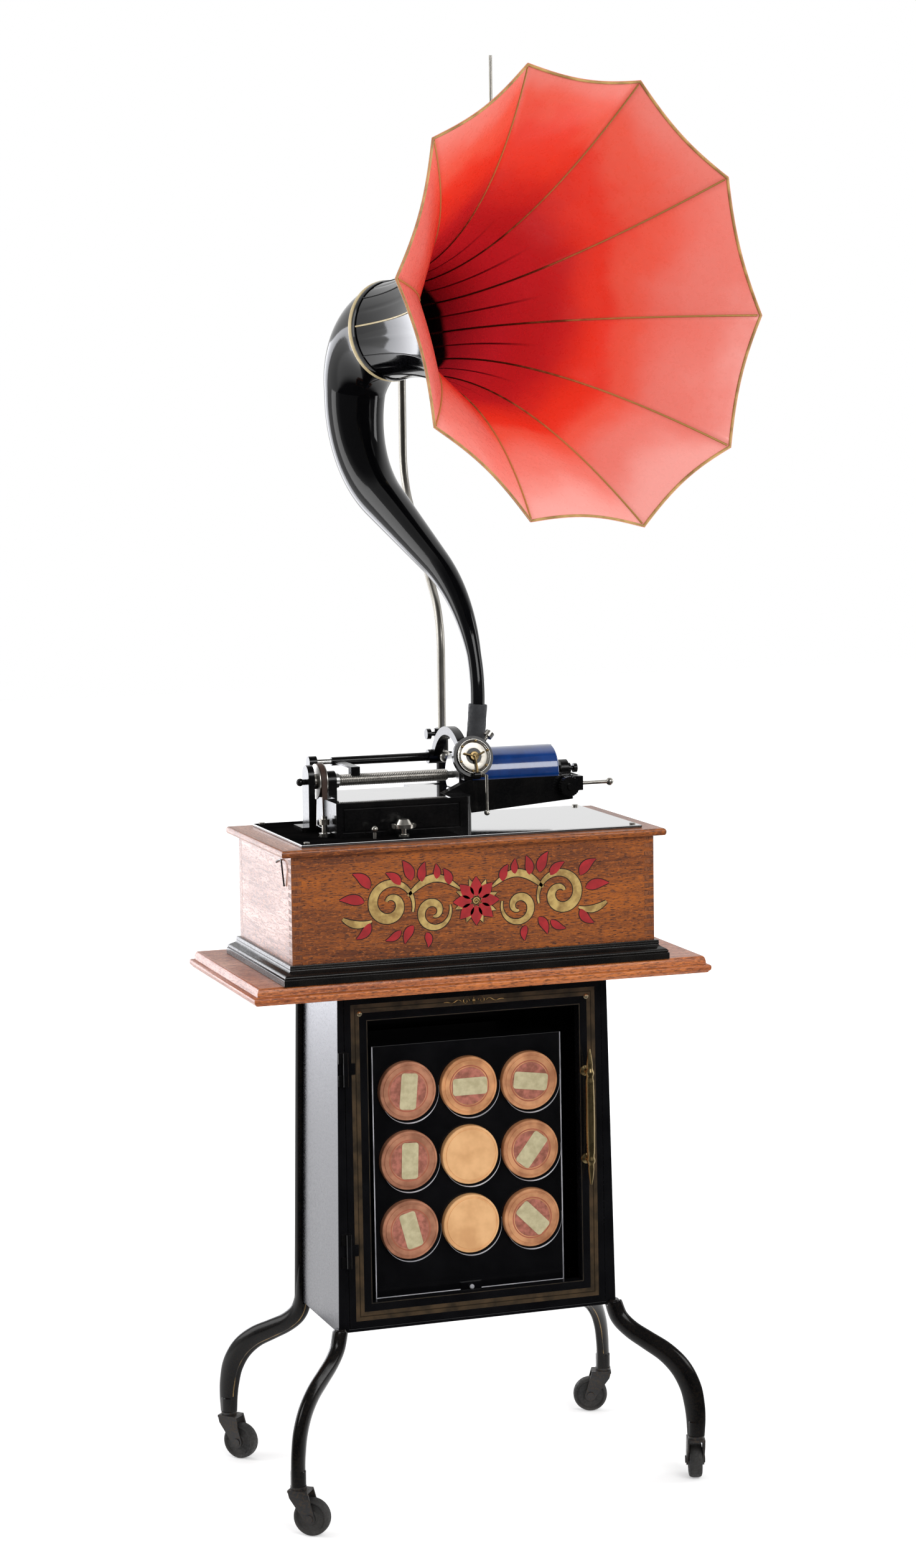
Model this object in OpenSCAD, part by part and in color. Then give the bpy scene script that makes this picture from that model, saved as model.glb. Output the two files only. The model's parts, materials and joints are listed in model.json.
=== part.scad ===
// Talking machine with a swan-neck horn, standing on a steel record cabinet with casters.
// Millimetres, +Z up, floor at z = 0. All places are measured from the middle of the cabinet,
// and stand_x and stand_y then move the whole object so that the origin is under its middle.

/* [Cabinet] */
// Width of the cabinet at its top
cab_w_top = 305; // [290:1:320]
// How far each side of the cabinet spreads from top to foot
cab_flare = 5.5; // [2:0.5:12]
// Depth of the cabinet at its top
cab_d_top = 131; // [128:1:150]
// Height of the cabinet body
cab_h = 364; // [350:1:390]
// Height of the cabinet foot above the floor
cab_z = 186; // [176:1:200]
// Thickness of the cabinet's sheet steel
sheet = 1.6; // [1.2:0.1:2.4]
// Depth of the door frame
door_t = 12; // [10:0.5:14]
// Width of the door's side and head rails
door_rail = 26; // [22:1:28]

/* [Record rack] */
// Diameter of a carton lid
lid_d = 63.5; // [62:0.5:67]
// Length of a carton
carton_len = 106; // [90:1:108]
// Sideways pitch of the cartons
pitch_x = 69.5; // [69:0.5:72]
// Upright pitch of the cartons
pitch_z = 75; // [70:0.5:78]
// Height of the middle row of cartons above the cabinet foot
rack_mid = 174; // [166:1:178]

/* [Legs and casters] */
// Sideways reach of a leg beyond the cabinet's foot
reach_x = 66; // [56:1:76]
// Reach of a leg to the front or back of the cabinet's foot
reach_y = 64; // [56:1:74]
// Height of a leg's lower end
leg_end = 51; // [50:1:55]
// Radius of a caster wheel
wheel_r = 19.5; // [18:0.5:20]
// Width of a caster wheel
wheel_w = 14; // [11:0.5:16]
// Distance from the swivel axis back to the axle
trail = 15; // [13:0.5:18]
// Radius of a caster stem
stem_r = 4; // [3.5:0.1:4.5]

/* [Table board] */
// Width of the table board
table_w = 512; // [480:1:540]
// Depth of the table board
table_d = 262; // [250:1:280]
// Thickness of the table board
table_t = 18; // [16:0.5:22]
// How far the board's middle lies behind the cabinet's middle
table_back = 18; // [14:1:22]

/* [Machine case] */
// Width of the case
case_w = 406; // [400:1:420]
// Depth of the case
case_d = 200; // [196:1:210]
// Height of the case walls
case_h = 133; // [130:1:150]
// Thickness of the case walls
case_wall = 11; // [9:0.5:13]
// Height of the base moulding
mould_h = 20; // [16:0.5:24]
// Width of the base moulding beyond the walls
mould_w = 12.5; // [10:0.5:15]
// Thickness of the deck board
deck_t = 8; // [7:0.5:10]
// Deck overhang at the sides
deck_side = 12; // [8:0.5:14]
// Deck overhang at the front and back
deck_front = 8; // [6:0.5:9]
// Thickness of the bedplate
bed_t = 3; // [2.5:0.5:4]

/* [Upper works] */
// Height of the mandrel axis above the bedplate
axis_h = 52; // [50:0.5:54]
// Length of the record
record_len = 108; // [100:1:108]
// Outer radius of the record
record_r = 27.8; // [27:0.1:28.5]
// Radius of the feed screw
screw_r = 6.5; // [5.5:0.1:7]
// Radius of the guide rod behind the mandrel
guide_r = 3; // [2.8:0.1:3.4]
// Height of the body casting
cast_h = 37; // [35:0.5:39]
// Travel of the carriage
travel = 96; // [80:1:97]
// Radius of the sound box
sound_r = 18.5; // [16:0.5:19]

/* [Motor] */
// Tooth module of the gears
gear_m = 1.25; // [1.2:0.01:1.3]
// Teeth on the spring barrel's wheel
barrel_teeth = 64; // [64]
// Teeth on the pinion of the second shaft
pinion_teeth = 16; // [16]
// Teeth on the wheel of the second shaft
second_teeth = 48; // [48]
// Teeth on the governor pinion
governor_teeth = 12; // [12]
// Radius of the pulley on the mandrel shaft
pulley_r = 17; // [15:0.5:18]
// Radius of the pulley on the motor
drive_r = 25; // [22:0.5:26]
// Thickness of the leather belt
belt_t = 2; // [1.5:0.1:2.5]

/* [Horn] */
// Radius of the bell at its rim, to a corner
rim_r = 250; // [240:1:256]
// Length of the bell from the collar to the rim
bell_len = 340; // [320:1:350]
// Radius of the horn at the collar
collar_r = 55; // [52:0.5:58]
// Outer radius of the horn's neck
neck_r = 7.8; // [7.5:0.1:8]
// Radius of the tube where the last bend starts
crook_r = 35; // [32:0.5:38]
// Thickness of the horn's tinplate
horn_wall = 1; // [0.8:0.1:1.4]
// Upward tilt of the bell
bell_tilt = 6; // [4:0.5:8]
// Direction of the bell, to the right of straight ahead
horn_yaw = 18.4; // [15:0.1:22]
// Sideways lean of the horn when the carriage is at its left end
horn_lean = 4.3; // [3.5:0.1:5]
// Distance from the collar forward to the hanging ring
ring_at = 176; // [160:1:190]

/* [Crane] */
// Radius of the crane rod
crane_r = 4.5; // [4:0.1:5]
// Height of the crane's tip above the hanging ring
hang_h = 82; // [78:1:95]

/* [Hidden] */
$fn = 48;

// Where the cabinet's middle stands, so that the origin is under the middle of the whole
stand_x = -45;
stand_y = -43;

// Small fits
run_fit = 0.05;
air = 0.3;
eps = 0.01;

// Cabinet's foot and the caster stems
cab_w_foot = cab_w_top + 2 * cab_flare;
cab_d_foot = cab_d_top + 2 * cab_flare;
stem_x = cab_w_foot / 2 + reach_x;
stem_y = cab_d_foot / 2 + reach_y;

// Levels
cab_top = cab_z + cab_h;
table_top = cab_top + table_t;
case_top = table_top + case_h;
deck_top = case_top + deck_t;
bed_top = deck_top + bed_t;
axis_z = bed_top + axis_h;

// Plan places of the machine
case_x = -7;
case_y = 3;
case_x0 = case_x - case_w / 2;
case_x1 = case_x + case_w / 2;
case_y0 = case_y - case_d / 2;
case_y1 = case_y + case_d / 2;
axis_y = 20;
bed_x0 = -196;
bed_x1 = 186;
bed_y0 = -90;
bed_y1 = 96;

module placed() {
    translate([stand_x, stand_y, 0]) children();
}

module box(x0, x1, y0, y1, z0, z1) {
    translate([x0, y0, z0]) cube([x1 - x0, y1 - y0, z1 - z0]);
}

module rod_x(x0, x1, y, z, r) {
    translate([x0, y, z]) rotate([0, 90, 0]) cylinder(h = x1 - x0, r = r);
}

module rod_y(x, y0, y1, z, r) {
    translate([x, y0, z]) rotate([-90, 0, 0]) cylinder(h = y1 - y0, r = r);
}

module rod_z(x, y, z0, z1, r) {
    translate([x, y, z0]) cylinder(h = z1 - z0, r = r);
}

// Skin over a row of rings, each a list of the same number of points, closed at both ends
module skin(rings) {
    n = len(rings[0]);
    m = len(rings);
    polyhedron(
        points = [for (ring = rings) for (p = ring) p],
        faces = concat(
            [for (i = [0 : m - 2]) for (j = [0 : n - 1])
                [i * n + j, i * n + (j + 1) % n, (i + 1) * n + j]],
            [for (i = [0 : m - 2]) for (j = [0 : n - 1])
                [i * n + (j + 1) % n, (i + 1) * n + (j + 1) % n, (i + 1) * n + j]],
            [[for (j = [0 : n - 1]) n - 1 - j]],
            [[for (j = [0 : n - 1]) (m - 1) * n + j]]
        )
    );
}

// Cabinet

cab_taper_x = (cab_w_foot - cab_w_top) / 2;
cab_taper_y = (cab_d_foot - cab_d_top) / 2;

// A solid between two levels whose sides follow the cabinet's slope, drawn in by inset
module tapered(z0, z1, inset) {
    intersection() {
        translate([0, cab_d_foot, 0]) rotate([90, 0, 0]) linear_extrude(2 * cab_d_foot)
            polygon([
                [-half_w(z0) + inset, z0], [half_w(z0) - inset, z0],
                [half_w(z1) - inset, z1], [-half_w(z1) + inset, z1]
            ]);
        translate([-cab_w_foot, 0, 0]) rotate([90, 0, 90]) linear_extrude(2 * cab_w_foot)
            polygon([
                [-half_d(z0) + inset, z0], [half_d(z0) - inset, z0],
                [half_d(z1) - inset, z1], [-half_d(z1) + inset, z1]
            ]);
    }
}

function half_w(z) = cab_w_foot / 2 - cab_taper_x * (z - cab_z) / cab_h;
function half_d(z) = cab_d_foot / 2 - cab_taper_y * (z - cab_z) / cab_h;

// The front leans back with the taper, and the door lies in a rebate cut along it
lean_front = atan(cab_taper_y / cab_h);
post_w = 7;
door_z0 = 4;
door_z1 = cab_h - 7;

// Moves children from an upright plane at y = 0 on to the cabinet's leaning front
module on_front() {
    translate([0, -half_d(cab_z), cab_z]) rotate([-lean_front, 0, 0]) children();
}

module cabinet_shell() {
    color("#16161a") placed() difference() {
        tapered(cab_z, cab_top, 0);
        tapered(cab_z + sheet, cab_top - sheet, sheet);
        on_front() box(
            -door_half(door_z0) - air, door_half(door_z0) + air,
            -5, door_t + sheet + air, door_z0 - air, door_z1 + air
        );
        for (i = [-1, 1]) for (j = [-1, 1])
            rod_z(i * tie_x, j * tie_y, cab_top - 2 * sheet, cab_top + eps, 2.5);
    }
}

tie_x = cab_w_top / 2 - 22;
tie_y = cab_d_top / 2 - 20;

function door_half(h) = cab_w_top / 2 - post_w;

pin_r = 1.6;
knuckle_r = 3.2;
pin_x = -door_half(0) - air / 2;
pin_y = -knuckle_r - 0.2;
leaf_t = 1.8;
leaf_w = 11;
knuckles = [70, cab_h - 100];
knuckle_h = 36;

module door_outline(inset) {
    box(
        -door_half(0) + inset, door_half(0) - inset, 0, door_t,
        door_z0 + inset, door_z1 - inset
    );
}

module door_frame() {
    color("#1a1a1e") placed() on_front() difference() {
        union() {
            door_outline(0);
            for (h = knuckles) {
                rod_z(pin_x, pin_y, h + knuckle_h / 3, h + 2 * knuckle_h / 3, knuckle_r);
                box(
                    pin_x, pin_x + leaf_w, -leaf_t, eps, h + knuckle_h / 3, h + 2 * knuckle_h / 3
                );
            }
        }
        translate([0, -eps, 0]) box(
            -door_half(0) + door_rail, door_half(0) - door_rail, -1, door_t + 1,
            door_z0 + door_rail, door_z1 - door_rail
        );
        translate([0, -2 * eps, 0]) difference() {
            box(
                -door_half(0) + 10, door_half(0) - 10, 0, 0.6, door_z0 + 10, door_z1 - 10
            );
            box(
                -door_half(0) + 13, door_half(0) - 13, -1, 2, door_z0 + 13, door_z1 - 13
            );
        }
        for (h = knuckles) {
            rod_z(pin_x, pin_y, h - 1, h + knuckle_h + 1, pin_r + run_fit);
        }
        for (h = handle_zs) rod_y(handle_x, -1, 6, h, 2);
    }
}

module door_hinges() {
    color("#2a2a2e") placed() on_front() for (h = knuckles) {
        rod_z(pin_x, pin_y, h, h + knuckle_h, pin_r);
        for (s = [0, 2 * knuckle_h / 3 + air / 3]) {
            rod_z(pin_x, pin_y, h + s, h + s + knuckle_h / 3 - air / 3, knuckle_r);
            box(
                pin_x - leaf_w + 3.5, pin_x, -leaf_t, -eps,
                h + s, h + s + knuckle_h / 3 - air / 3
            );
        }
    }
}

handle_x = door_half(0) - door_rail + 6.5;
handle_mid = cab_h - 153;
handle_len = 96;
handle_zs = [handle_mid - handle_len / 2, handle_mid + handle_len / 2];
handle_r = 3.4;
handle_out = 14;

module door_handle() {
    color("#c9c3b0") placed() on_front() {
        for (h = handle_zs) {
            rod_y(handle_x, -handle_out, 6, h, 2);
            translate([handle_x, 0, h]) rotate([90, 0, 0]) cylinder(h = 2, r1 = 6, r2 = 4);
        }
        translate([handle_x, -handle_out, 0]) rotate_extrude()
            polygon(concat(
                [[0, handle_zs[0] - 26]],
                [for (k = [0 : 12]) [
                    handle_r + 1.6 * sin(180 * k / 12) - 2.4 * pow(abs(k - 6) / 6, 6),
                    handle_zs[0] - 26 + (handle_len + 52) * k / 12
                ]],
                [[0, handle_zs[1] + 26]]
            ));
    }
}

// Rack and cartons

rack_face = door_t + 14;
rack_t = 3;
rack_half = 3 * pitch_x / 2 + 3;
rack_z0 = rack_mid - 1.5 * pitch_z - 41;
rack_z1 = rack_mid + 1.5 * pitch_z + 12;
carton_r = lid_d / 2 - 1.5;

function carton_x(k) = (k % 3 - 1) * pitch_x;
function carton_z(k) = rack_mid + (1 - floor(k / 3)) * pitch_z;

// Feet and side brackets, cut to meet the inside of the cabinet
module rack_mounts() {
    intersection() {
        tapered(cab_z + sheet, cab_top - sheet, sheet);
        on_front() for (s = [-1, 1]) {
            box(
                s * (rack_half - rack_t / 2) - rack_t / 2,
                s * (rack_half - rack_t / 2) + rack_t / 2,
                rack_face + 6, rack_back() - 6, -5, rack_z0 + 1
            );
            box(
                s * (rack_half + 30) - 31, s * (rack_half + 30) + 31,
                rack_back() - 30, rack_back() - 27, rack_z0 + 30, rack_z0 + 60
            );
        }
    }
}

module record_rack() {
    color("#101014") placed() {
        rack_mounts();
        rack_panel();
    }
}

module rack_panel() {
    on_front() difference() {
        union() {
            box(-rack_half, rack_half, rack_face, rack_face + rack_t, rack_z0, rack_z1);
            box(-rack_half, rack_half, rack_face, rack_back(), rack_z0, rack_z0 + rack_t);
            box(-rack_half, rack_half, rack_face, rack_back(), rack_z1 - rack_t, rack_z1);
            for (s = [-1, 1]) box(
                s * (rack_half - rack_t / 2) - rack_t / 2,
                s * (rack_half - rack_t / 2) + rack_t / 2,
                rack_face, rack_back(), rack_z0, rack_z1
            );
            for (r = [0 : 2])
                box(
                    -rack_half, rack_half, rack_face + rack_t, rack_back(),
                    rack_mid + (r - 1) * pitch_z - lid_d / 2 - 3.5,
                    rack_mid + (r - 1) * pitch_z - lid_d / 2 - 0.5
                );
            box(-12, 12, rack_face - 1.5, rack_face, rack_z0 + 4, rack_z0 + 14);
        }
        for (k = [0 : 8])
            rod_y(
                carton_x(k), rack_face - 1, rack_face + rack_t + 1, carton_z(k),
                lid_d / 2 + 0.35
            );
    }
}

function rack_back() = cab_d_top - 14;

lid_front = rack_face - 7;

module carton(k) {
    color("#c79a63") placed() on_front() {
        difference() {
            rod_y(carton_x(k), lid_front + 2, lid_front + carton_len, carton_z(k), carton_r);
            rod_y(
                carton_x(k), lid_front + 4, lid_front + carton_len - 2, carton_z(k),
                carton_r - 1.6
            );
        }
        difference() {
            rod_y(carton_x(k), lid_front, lid_front + 24, carton_z(k), lid_d / 2);
            rod_y(carton_x(k), lid_front + 2, lid_front + 25, carton_z(k), carton_r);
            difference() {
                rod_y(carton_x(k), lid_front - 1, lid_front + 0.7, carton_z(k), lid_d / 2 - 2.5);
                rod_y(carton_x(k), lid_front - 2, lid_front + 2, carton_z(k), lid_d / 2 - 4);
            }
        }
    }
}

module carton_1() { carton(0); }
module carton_2() { carton(1); }
module carton_3() { carton(2); }
module carton_4() { carton(3); }
module carton_5() { carton(4); }
module carton_6() { carton(5); }
module carton_7() { carton(6); }
module carton_8() { carton(7); }
module carton_9() { carton(8); }

// Legs: [out from the cabinet's corner, height, half thickness in the bend's plane, half width].
// A front leg ends low on its corner, and a back leg goes on up it as a post to the table

leg_sides = 14;
leg_run = [stem_x - cab_w_foot / 2, stem_y - cab_d_foot / 2];
leg_out = norm(leg_run);
post_r = 6.5;
leg_bend = [
    [-2.5, cab_z, 9.5, 7.8],
    [4, cab_z - 15, 10, 7.4],
    [18, cab_z - 27, 10, 7],
    [37, cab_z - 37, 10.5, 6.6],
    [58, cab_z - 48, 11.2, 6.4],
    [75, cab_z - 63, 12, 6.2],
    [leg_out - 6, cab_z - 82, 12, 6.2],
    [leg_out - 1.5, cab_z - 101, 11.4, 6.2],
    [leg_out, cab_z - 117, 10.6, 6.4],
    [leg_out, leg_end, 9.4, 7.4]
];

function leg_path(rise) = concat(
    [[-3, cab_z + rise, 5.5, 6], [-3, cab_z + rise / 2, 7.5, 7.5]], leg_bend
);

function leg_heading(path, i) = i >= len(path) - 2 ? 180 : let (
    a = path[max(i - 1, 0)], b = path[i + 1]
) atan2(b[0] - a[0], b[1] - a[1]);

// One ring of a leg, square to its path in the plane of the bend
function leg_ring(path, i) = let (s = path[i], h = leg_heading(path, i)) [
    for (j = [0 : leg_sides - 1])
        let (a = 360 * j / leg_sides, u = s[2] * cos(a), v = s[3] * sin(a))
        [s[0] - u * cos(h), v, s[1] + u * sin(h)]
];

module corner_post(i, j) {
    skin([for (z = [cab_z, cab_top]) [
        for (k = [0 : leg_sides - 1]) let (a = -360 * k / leg_sides)
            [i * half_w(z) + post_r * cos(a), j * half_d(z) + post_r * sin(a), z]
    ]]);
}

module leg(i, j) {
    path = leg_path(j > 0 ? 42 : 16);
    color("#121215") placed() difference() {
        union() {
            translate([i * cab_w_foot / 2, j * cab_d_foot / 2, 0])
                rotate([0, 0, atan2(j * leg_run[1], i * leg_run[0])]) {
                    skin([for (k = [0 : len(path) - 1]) leg_ring(path, k)]);
                    translate([leg_out, 0, leg_end]) cylinder(h = 16, r = 8.2);
                }
            if (j > 0) corner_post(i, j);
        }
        tapered(cab_z, cab_top + 1, -run_fit);
        rod_z(i * stem_x, j * stem_y, leg_end - 1, leg_end + 18 + air, stem_r + run_fit);
    }
}

module leg_front_left() { leg(-1, -1); }
module leg_front_right() { leg(1, -1); }
module leg_back_left() { leg(-1, 1); }
module leg_back_right() { leg(1, 1); }

// Casters, each turned about its stem as it stands in use

fork_z = leg_end - 3.5;
fork_in = wheel_w / 2 + 0.8;
fork_t = 1.8;
axle_r = 2.5;

module caster_place(i, j, turn) {
    placed() translate([i * stem_x, j * stem_y, 0]) rotate([0, 0, turn]) children();
}

module caster_fork(i, j, turn) {
    color("#1c1c20") caster_place(i, j, turn) {
        rod_z(0, 0, fork_z, leg_end + 17, stem_r);
        rod_z(0, 0, fork_z, leg_end - air, 8.5);
        difference() {
            union() {
                box(-9, 13, -fork_in - fork_t, fork_in + fork_t, fork_z - 2.5, fork_z);
                for (s = [-1, 1]) translate([0, s * (fork_in + fork_t / 2) + fork_t / 2, 0])
                    rotate([90, 0, 0]) linear_extrude(fork_t) union() {
                        polygon([
                            [-9, fork_z], [13, fork_z], [trail + 6, wheel_r + 1],
                            [trail - 1, wheel_r - 6], [trail - 5.5, wheel_r - 2.5],
                            [-7, fork_z - 8]
                        ]);
                        translate([trail, wheel_r]) circle(6.2);
                    }
            }
            translate([trail, 0, wheel_r]) rotate([90, 0, 0])
                cylinder(h = 2 * fork_in - eps, r = wheel_r + 1.2, center = true);
        }
        translate([trail, 0, wheel_r]) rotate([90, 0, 0])
            cylinder(h = 2 * (fork_in + fork_t + 1.2), r = axle_r, center = true);
        for (s = [-1, 1]) translate([trail, s * (fork_in + fork_t + 0.6), wheel_r])
            rotate([90, 0, 0]) cylinder(h = 1.2, r = 4, center = true);
    }
}

module caster_wheel(i, j, turn) {
    color("#2b2b2b") caster_place(i, j, turn) translate([trail, 0, wheel_r])
        rotate([90, 0, 0]) rotate_extrude() polygon([
            [axle_r + run_fit, -wheel_w / 2], [7, -wheel_w / 2], [8, -wheel_w / 2 + 1.5],
            [wheel_r - 4, -wheel_w / 2 + 1.5], [wheel_r - 3, -wheel_w / 2],
            [wheel_r - 1, -wheel_w / 2], [wheel_r, -wheel_w / 2 + 1.5],
            [wheel_r, wheel_w / 2 - 1.5], [wheel_r - 1, wheel_w / 2],
            [wheel_r - 3, wheel_w / 2], [wheel_r - 4, wheel_w / 2 - 1.5],
            [8, wheel_w / 2 - 1.5], [7, wheel_w / 2], [axle_r + run_fit, wheel_w / 2]
        ]);
}

turn_fl = -38;
turn_fr = 71;
turn_bl = -47;
turn_br = 161;

module caster_fork_front_left() { caster_fork(-1, -1, turn_fl); }
module caster_fork_front_right() { caster_fork(1, -1, turn_fr); }
module caster_fork_back_left() { caster_fork(-1, 1, turn_bl); }
module caster_fork_back_right() { caster_fork(1, 1, turn_br); }
module caster_wheel_front_left() { caster_wheel(-1, -1, turn_fl); }
module caster_wheel_front_right() { caster_wheel(1, -1, turn_fr); }
module caster_wheel_back_left() { caster_wheel(-1, 1, turn_bl); }
module caster_wheel_back_right() { caster_wheel(1, 1, turn_br); }

// Table board with a stepped, rounded edge

table_edge = 5;

module table_board() {
    color("#b8683a") placed() {
        box(
            -table_w / 2 + table_edge, table_w / 2 - table_edge,
            table_back - table_d / 2 + table_edge, table_back + table_d / 2 - table_edge,
            cab_top + table_t / 2, table_top
        );
        box(
            -table_w / 2, table_w / 2, table_back - table_d / 2, table_back + table_d / 2,
            cab_top + 2, cab_top + table_t / 2 + eps
        );
        box(
            -table_w / 2 + 3, table_w / 2 - 3,
            table_back - table_d / 2 + 3, table_back + table_d / 2 - 3,
            cab_top, cab_top + 2 + eps
        );
        for (i = [-1, 1]) for (j = [-1, 1])
            rod_z(i * tie_x, j * tie_y, cab_top - sheet - 3, cab_top + eps, 2.5 - run_fit);
    }
}

// Machine case of four boards with finger joints at the front corners

finger = 4.3;

module fingers(x, phase) {
    for (k = [phase : 2 : floor(case_h / finger) - 1])
        box(
            x, x + case_wall, case_y0, case_y0 + case_wall,
            table_top + k * finger, table_top + (k + 1) * finger
        );
}

module case_front() {
    color("#a9652f") placed() difference() {
        box(case_x0, case_x1, case_y0, case_y0 + case_wall, table_top, case_top);
        fingers(case_x0 - eps, 0);
        fingers(case_x1 - case_wall + eps, 0);
        box(
            case_x0 - 1, case_x0 + case_wall, case_y0 - 1, case_y0 + case_wall + 1,
            table_top + floor(case_h / finger) * finger, case_top + 1
        );
        box(
            case_x1 - case_wall, case_x1 + 1, case_y0 - 1, case_y0 + case_wall + 1,
            table_top + floor(case_h / finger) * finger, case_top + 1
        );
    }
}

module case_side(x) {
    difference() {
        box(x, x + case_wall, case_y0, case_y1 - case_wall, table_top, case_top);
        fingers(x - eps, 1);
        fingers(x + eps, 1);
    }
}

module case_left() {
    color("#a9652f") placed() case_side(case_x0);
}

module case_right() {
    color("#a9652f") placed() difference() {
        case_side(case_x1 - case_wall);
        rod_x(case_x1 - case_wall - 1, case_x1 + 1, barrel_y, barrel_z, crank_hole_r);
    }
}

module case_back() {
    color("#a9652f") placed()
        box(case_x0, case_x1, case_y1 - case_wall, case_y1, table_top, case_top);
}

// Ogee moulding round the foot of the walls, mitred at its corners. Each point of the profile
// is its distance out from the wall and its height above the table
mould_profile = [
    [0, 0], [mould_w, 0], [mould_w, mould_h * 0.34], [mould_w * 0.78, mould_h * 0.5],
    [mould_w * 0.66, mould_h * 0.66], [mould_w * 0.34, mould_h * 0.8],
    [mould_w * 0.28, mould_h], [0, mould_h]
];

module base_moulding() {
    n = len(mould_profile);
    color("#17171a") placed() polyhedron(
        points = [
            for (c = [[-1, -1], [1, -1], [1, 1], [-1, 1]]) for (p = mould_profile) [
                case_x + c[0] * (case_w / 2 + p[0]),
                case_y + c[1] * (case_d / 2 + p[0]),
                table_top + p[1]
            ]
        ],
        faces = [
            for (i = [0 : 3]) for (k = [0 : n - 1]) let (j = (i + 1) % 4, m = (k + 1) % n)
                [i * n + k, i * n + m, j * n + m, j * n + k]
        ]
    );
}

// Deck board: a frame under the bedplate, with the motor's well in its middle

well_x0 = -186;
well_x1 = 150;
well_y0 = -79;
well_y1 = 76;

module deck_board() {
    color("#a9652f") placed() difference() {
        box(
            case_x0 - deck_side, case_x1 + deck_side, case_y0 - deck_front,
            case_y1 + deck_front, case_top, deck_top
        );
        box(well_x0, well_x1, well_y0, well_y1, case_top - 1, deck_top + 1);
        for (p = bed_screws) rod_z(p[0], p[1], case_top - 1, deck_top + 1, 1.5);
    }
}

bed_screws = [
    [bed_x0 + 8, bed_y0 + 8], [bed_x1 - 8, bed_y0 + 8],
    [bed_x0 + 8, bed_y1 - 8], [bed_x1 - 8, bed_y1 - 8]
];

module bedplate() {
    color("#0e0e10") placed() difference() {
        box(bed_x0, bed_x1, bed_y0, bed_y1, deck_top, bed_top);
        for (p = bed_screws) rod_z(p[0], p[1], deck_top - 1, bed_top + 1, 1.5);
        box(
            pulley_x - 2, pulley_x + pulley_w + 2, axis_y - drive_r - belt_t - 3,
            axis_y + drive_r + belt_t + 3, deck_top - 1, bed_top + 1
        );
        rod_z(speed_x, speed_y, deck_top - 1, bed_top + 1, 3 + run_fit);
        rod_z(brake_x, brake_y, deck_top - 1, bed_top + 1, 3 + run_fit);
        for (x = [frame_x0, frame_x1]) for (y = [frame_y0 + 8, frame_y1 - 8])
            rod_z(x + frame_t / 2, y, deck_top - 1, bed_top + 1, 1.5);
    }
}

module bedplate_screws() {
    color("#8f8f92") placed() for (p = bed_screws) {
        rod_z(p[0], p[1], case_top + 1, bed_top + 1, 1.5);
        difference() {
            rod_z(p[0], p[1], bed_top, bed_top + 1.8, 3.4);
            box(p[0] - 4, p[0] + 4, p[1] - 0.5, p[1] + 0.5, bed_top + 1, bed_top + 3);
        }
    }
    color("#8f8f92") placed() {
        rod_z(stud_x, brake_y, bed_top, bed_top + 9, 1.8);
        translate([stud_x, brake_y, bed_top + 10]) sphere(r = 3.6);
    }
}

stud_x = -111;

// Shaft, screw, mandrel and record turn together

record_x0 = 15;
record_x1 = record_x0 + record_len;
nut_x = -108;
nut_w = 10;
screw_x0 = nut_x - 13;
screw_x1 = nut_x + nut_w + travel + 4;
screw_pitch = 2;
ped_x0 = -158;
ped_x1 = -151;
bear_x0 = -135.4;
bear_x1 = -126;
pulley_x = -147;
pulley_w = 9;
shaft_r = 4;
centre_x = record_x1 + 9;

module feed_shaft() {
    color("#8d8d88") placed() difference() {
        union() {
            rod_x(ped_x0 + 2.5, screw_x0 + 1, axis_y, axis_z, shaft_r);
            rod_x(screw_x0, screw_x1, axis_y, axis_z, screw_r - 0.35);
            for (x = [screw_x0 + 0.4 : screw_pitch : screw_x1 - screw_pitch])
                rod_x(x, x + screw_pitch / 2, axis_y, axis_z, screw_r);
            rod_x(screw_x1 - 1, centre_x, axis_y, axis_z, shaft_r);
            rod_x(bear_x1 + 0.4, screw_x0 + 0.1, axis_y, axis_z, screw_r + 1.5);
        }
        translate([centre_x - 3, axis_y, axis_z]) rotate([0, 90, 0])
            cylinder(h = 3 + eps, r1 = 0.2, r2 = 2.6);
    }
}

module shaft_pulley() {
    color("#b7a878") placed() translate([pulley_x, axis_y, axis_z]) rotate([0, 90, 0])
        rotate_extrude() polygon([
            [shaft_r + run_fit, -2.2], [8, -2.2], [8, 0], [pulley_r + 2, 0], [pulley_r + 2, 1.2],
            [pulley_r, 1.4], [pulley_r, pulley_w - 1.4], [pulley_r + 2, pulley_w - 1.2],
            [pulley_r + 2, pulley_w], [8, pulley_w], [8, pulley_w + 2.2],
            [shaft_r + run_fit, pulley_w + 2.2]
        ]);
}

mandrel_x0 = 8.5;
mandrel_r0 = 23;
mandrel_r1 = 21.6;

module mandrel() {
    color("#a7a7a7") placed() translate([mandrel_x0, axis_y, axis_z]) rotate([0, 90, 0])
        rotate_extrude() polygon([
            [shaft_r + run_fit, 0], [mandrel_r0, 0], [mandrel_r1, record_x1 - mandrel_x0 + 2],
            [shaft_r + run_fit, record_x1 - mandrel_x0 + 2],
            [shaft_r + run_fit, record_x1 - mandrel_x0 - 4],
            [mandrel_r1 - 4, record_x1 - mandrel_x0 - 4], [mandrel_r0 - 4, 4],
            [shaft_r + run_fit, 4]
        ]);
}

function mandrel_at(x) = mandrel_r0
    + (mandrel_r1 - mandrel_r0) * (x - mandrel_x0) / (record_x1 + 2 - mandrel_x0);

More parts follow.
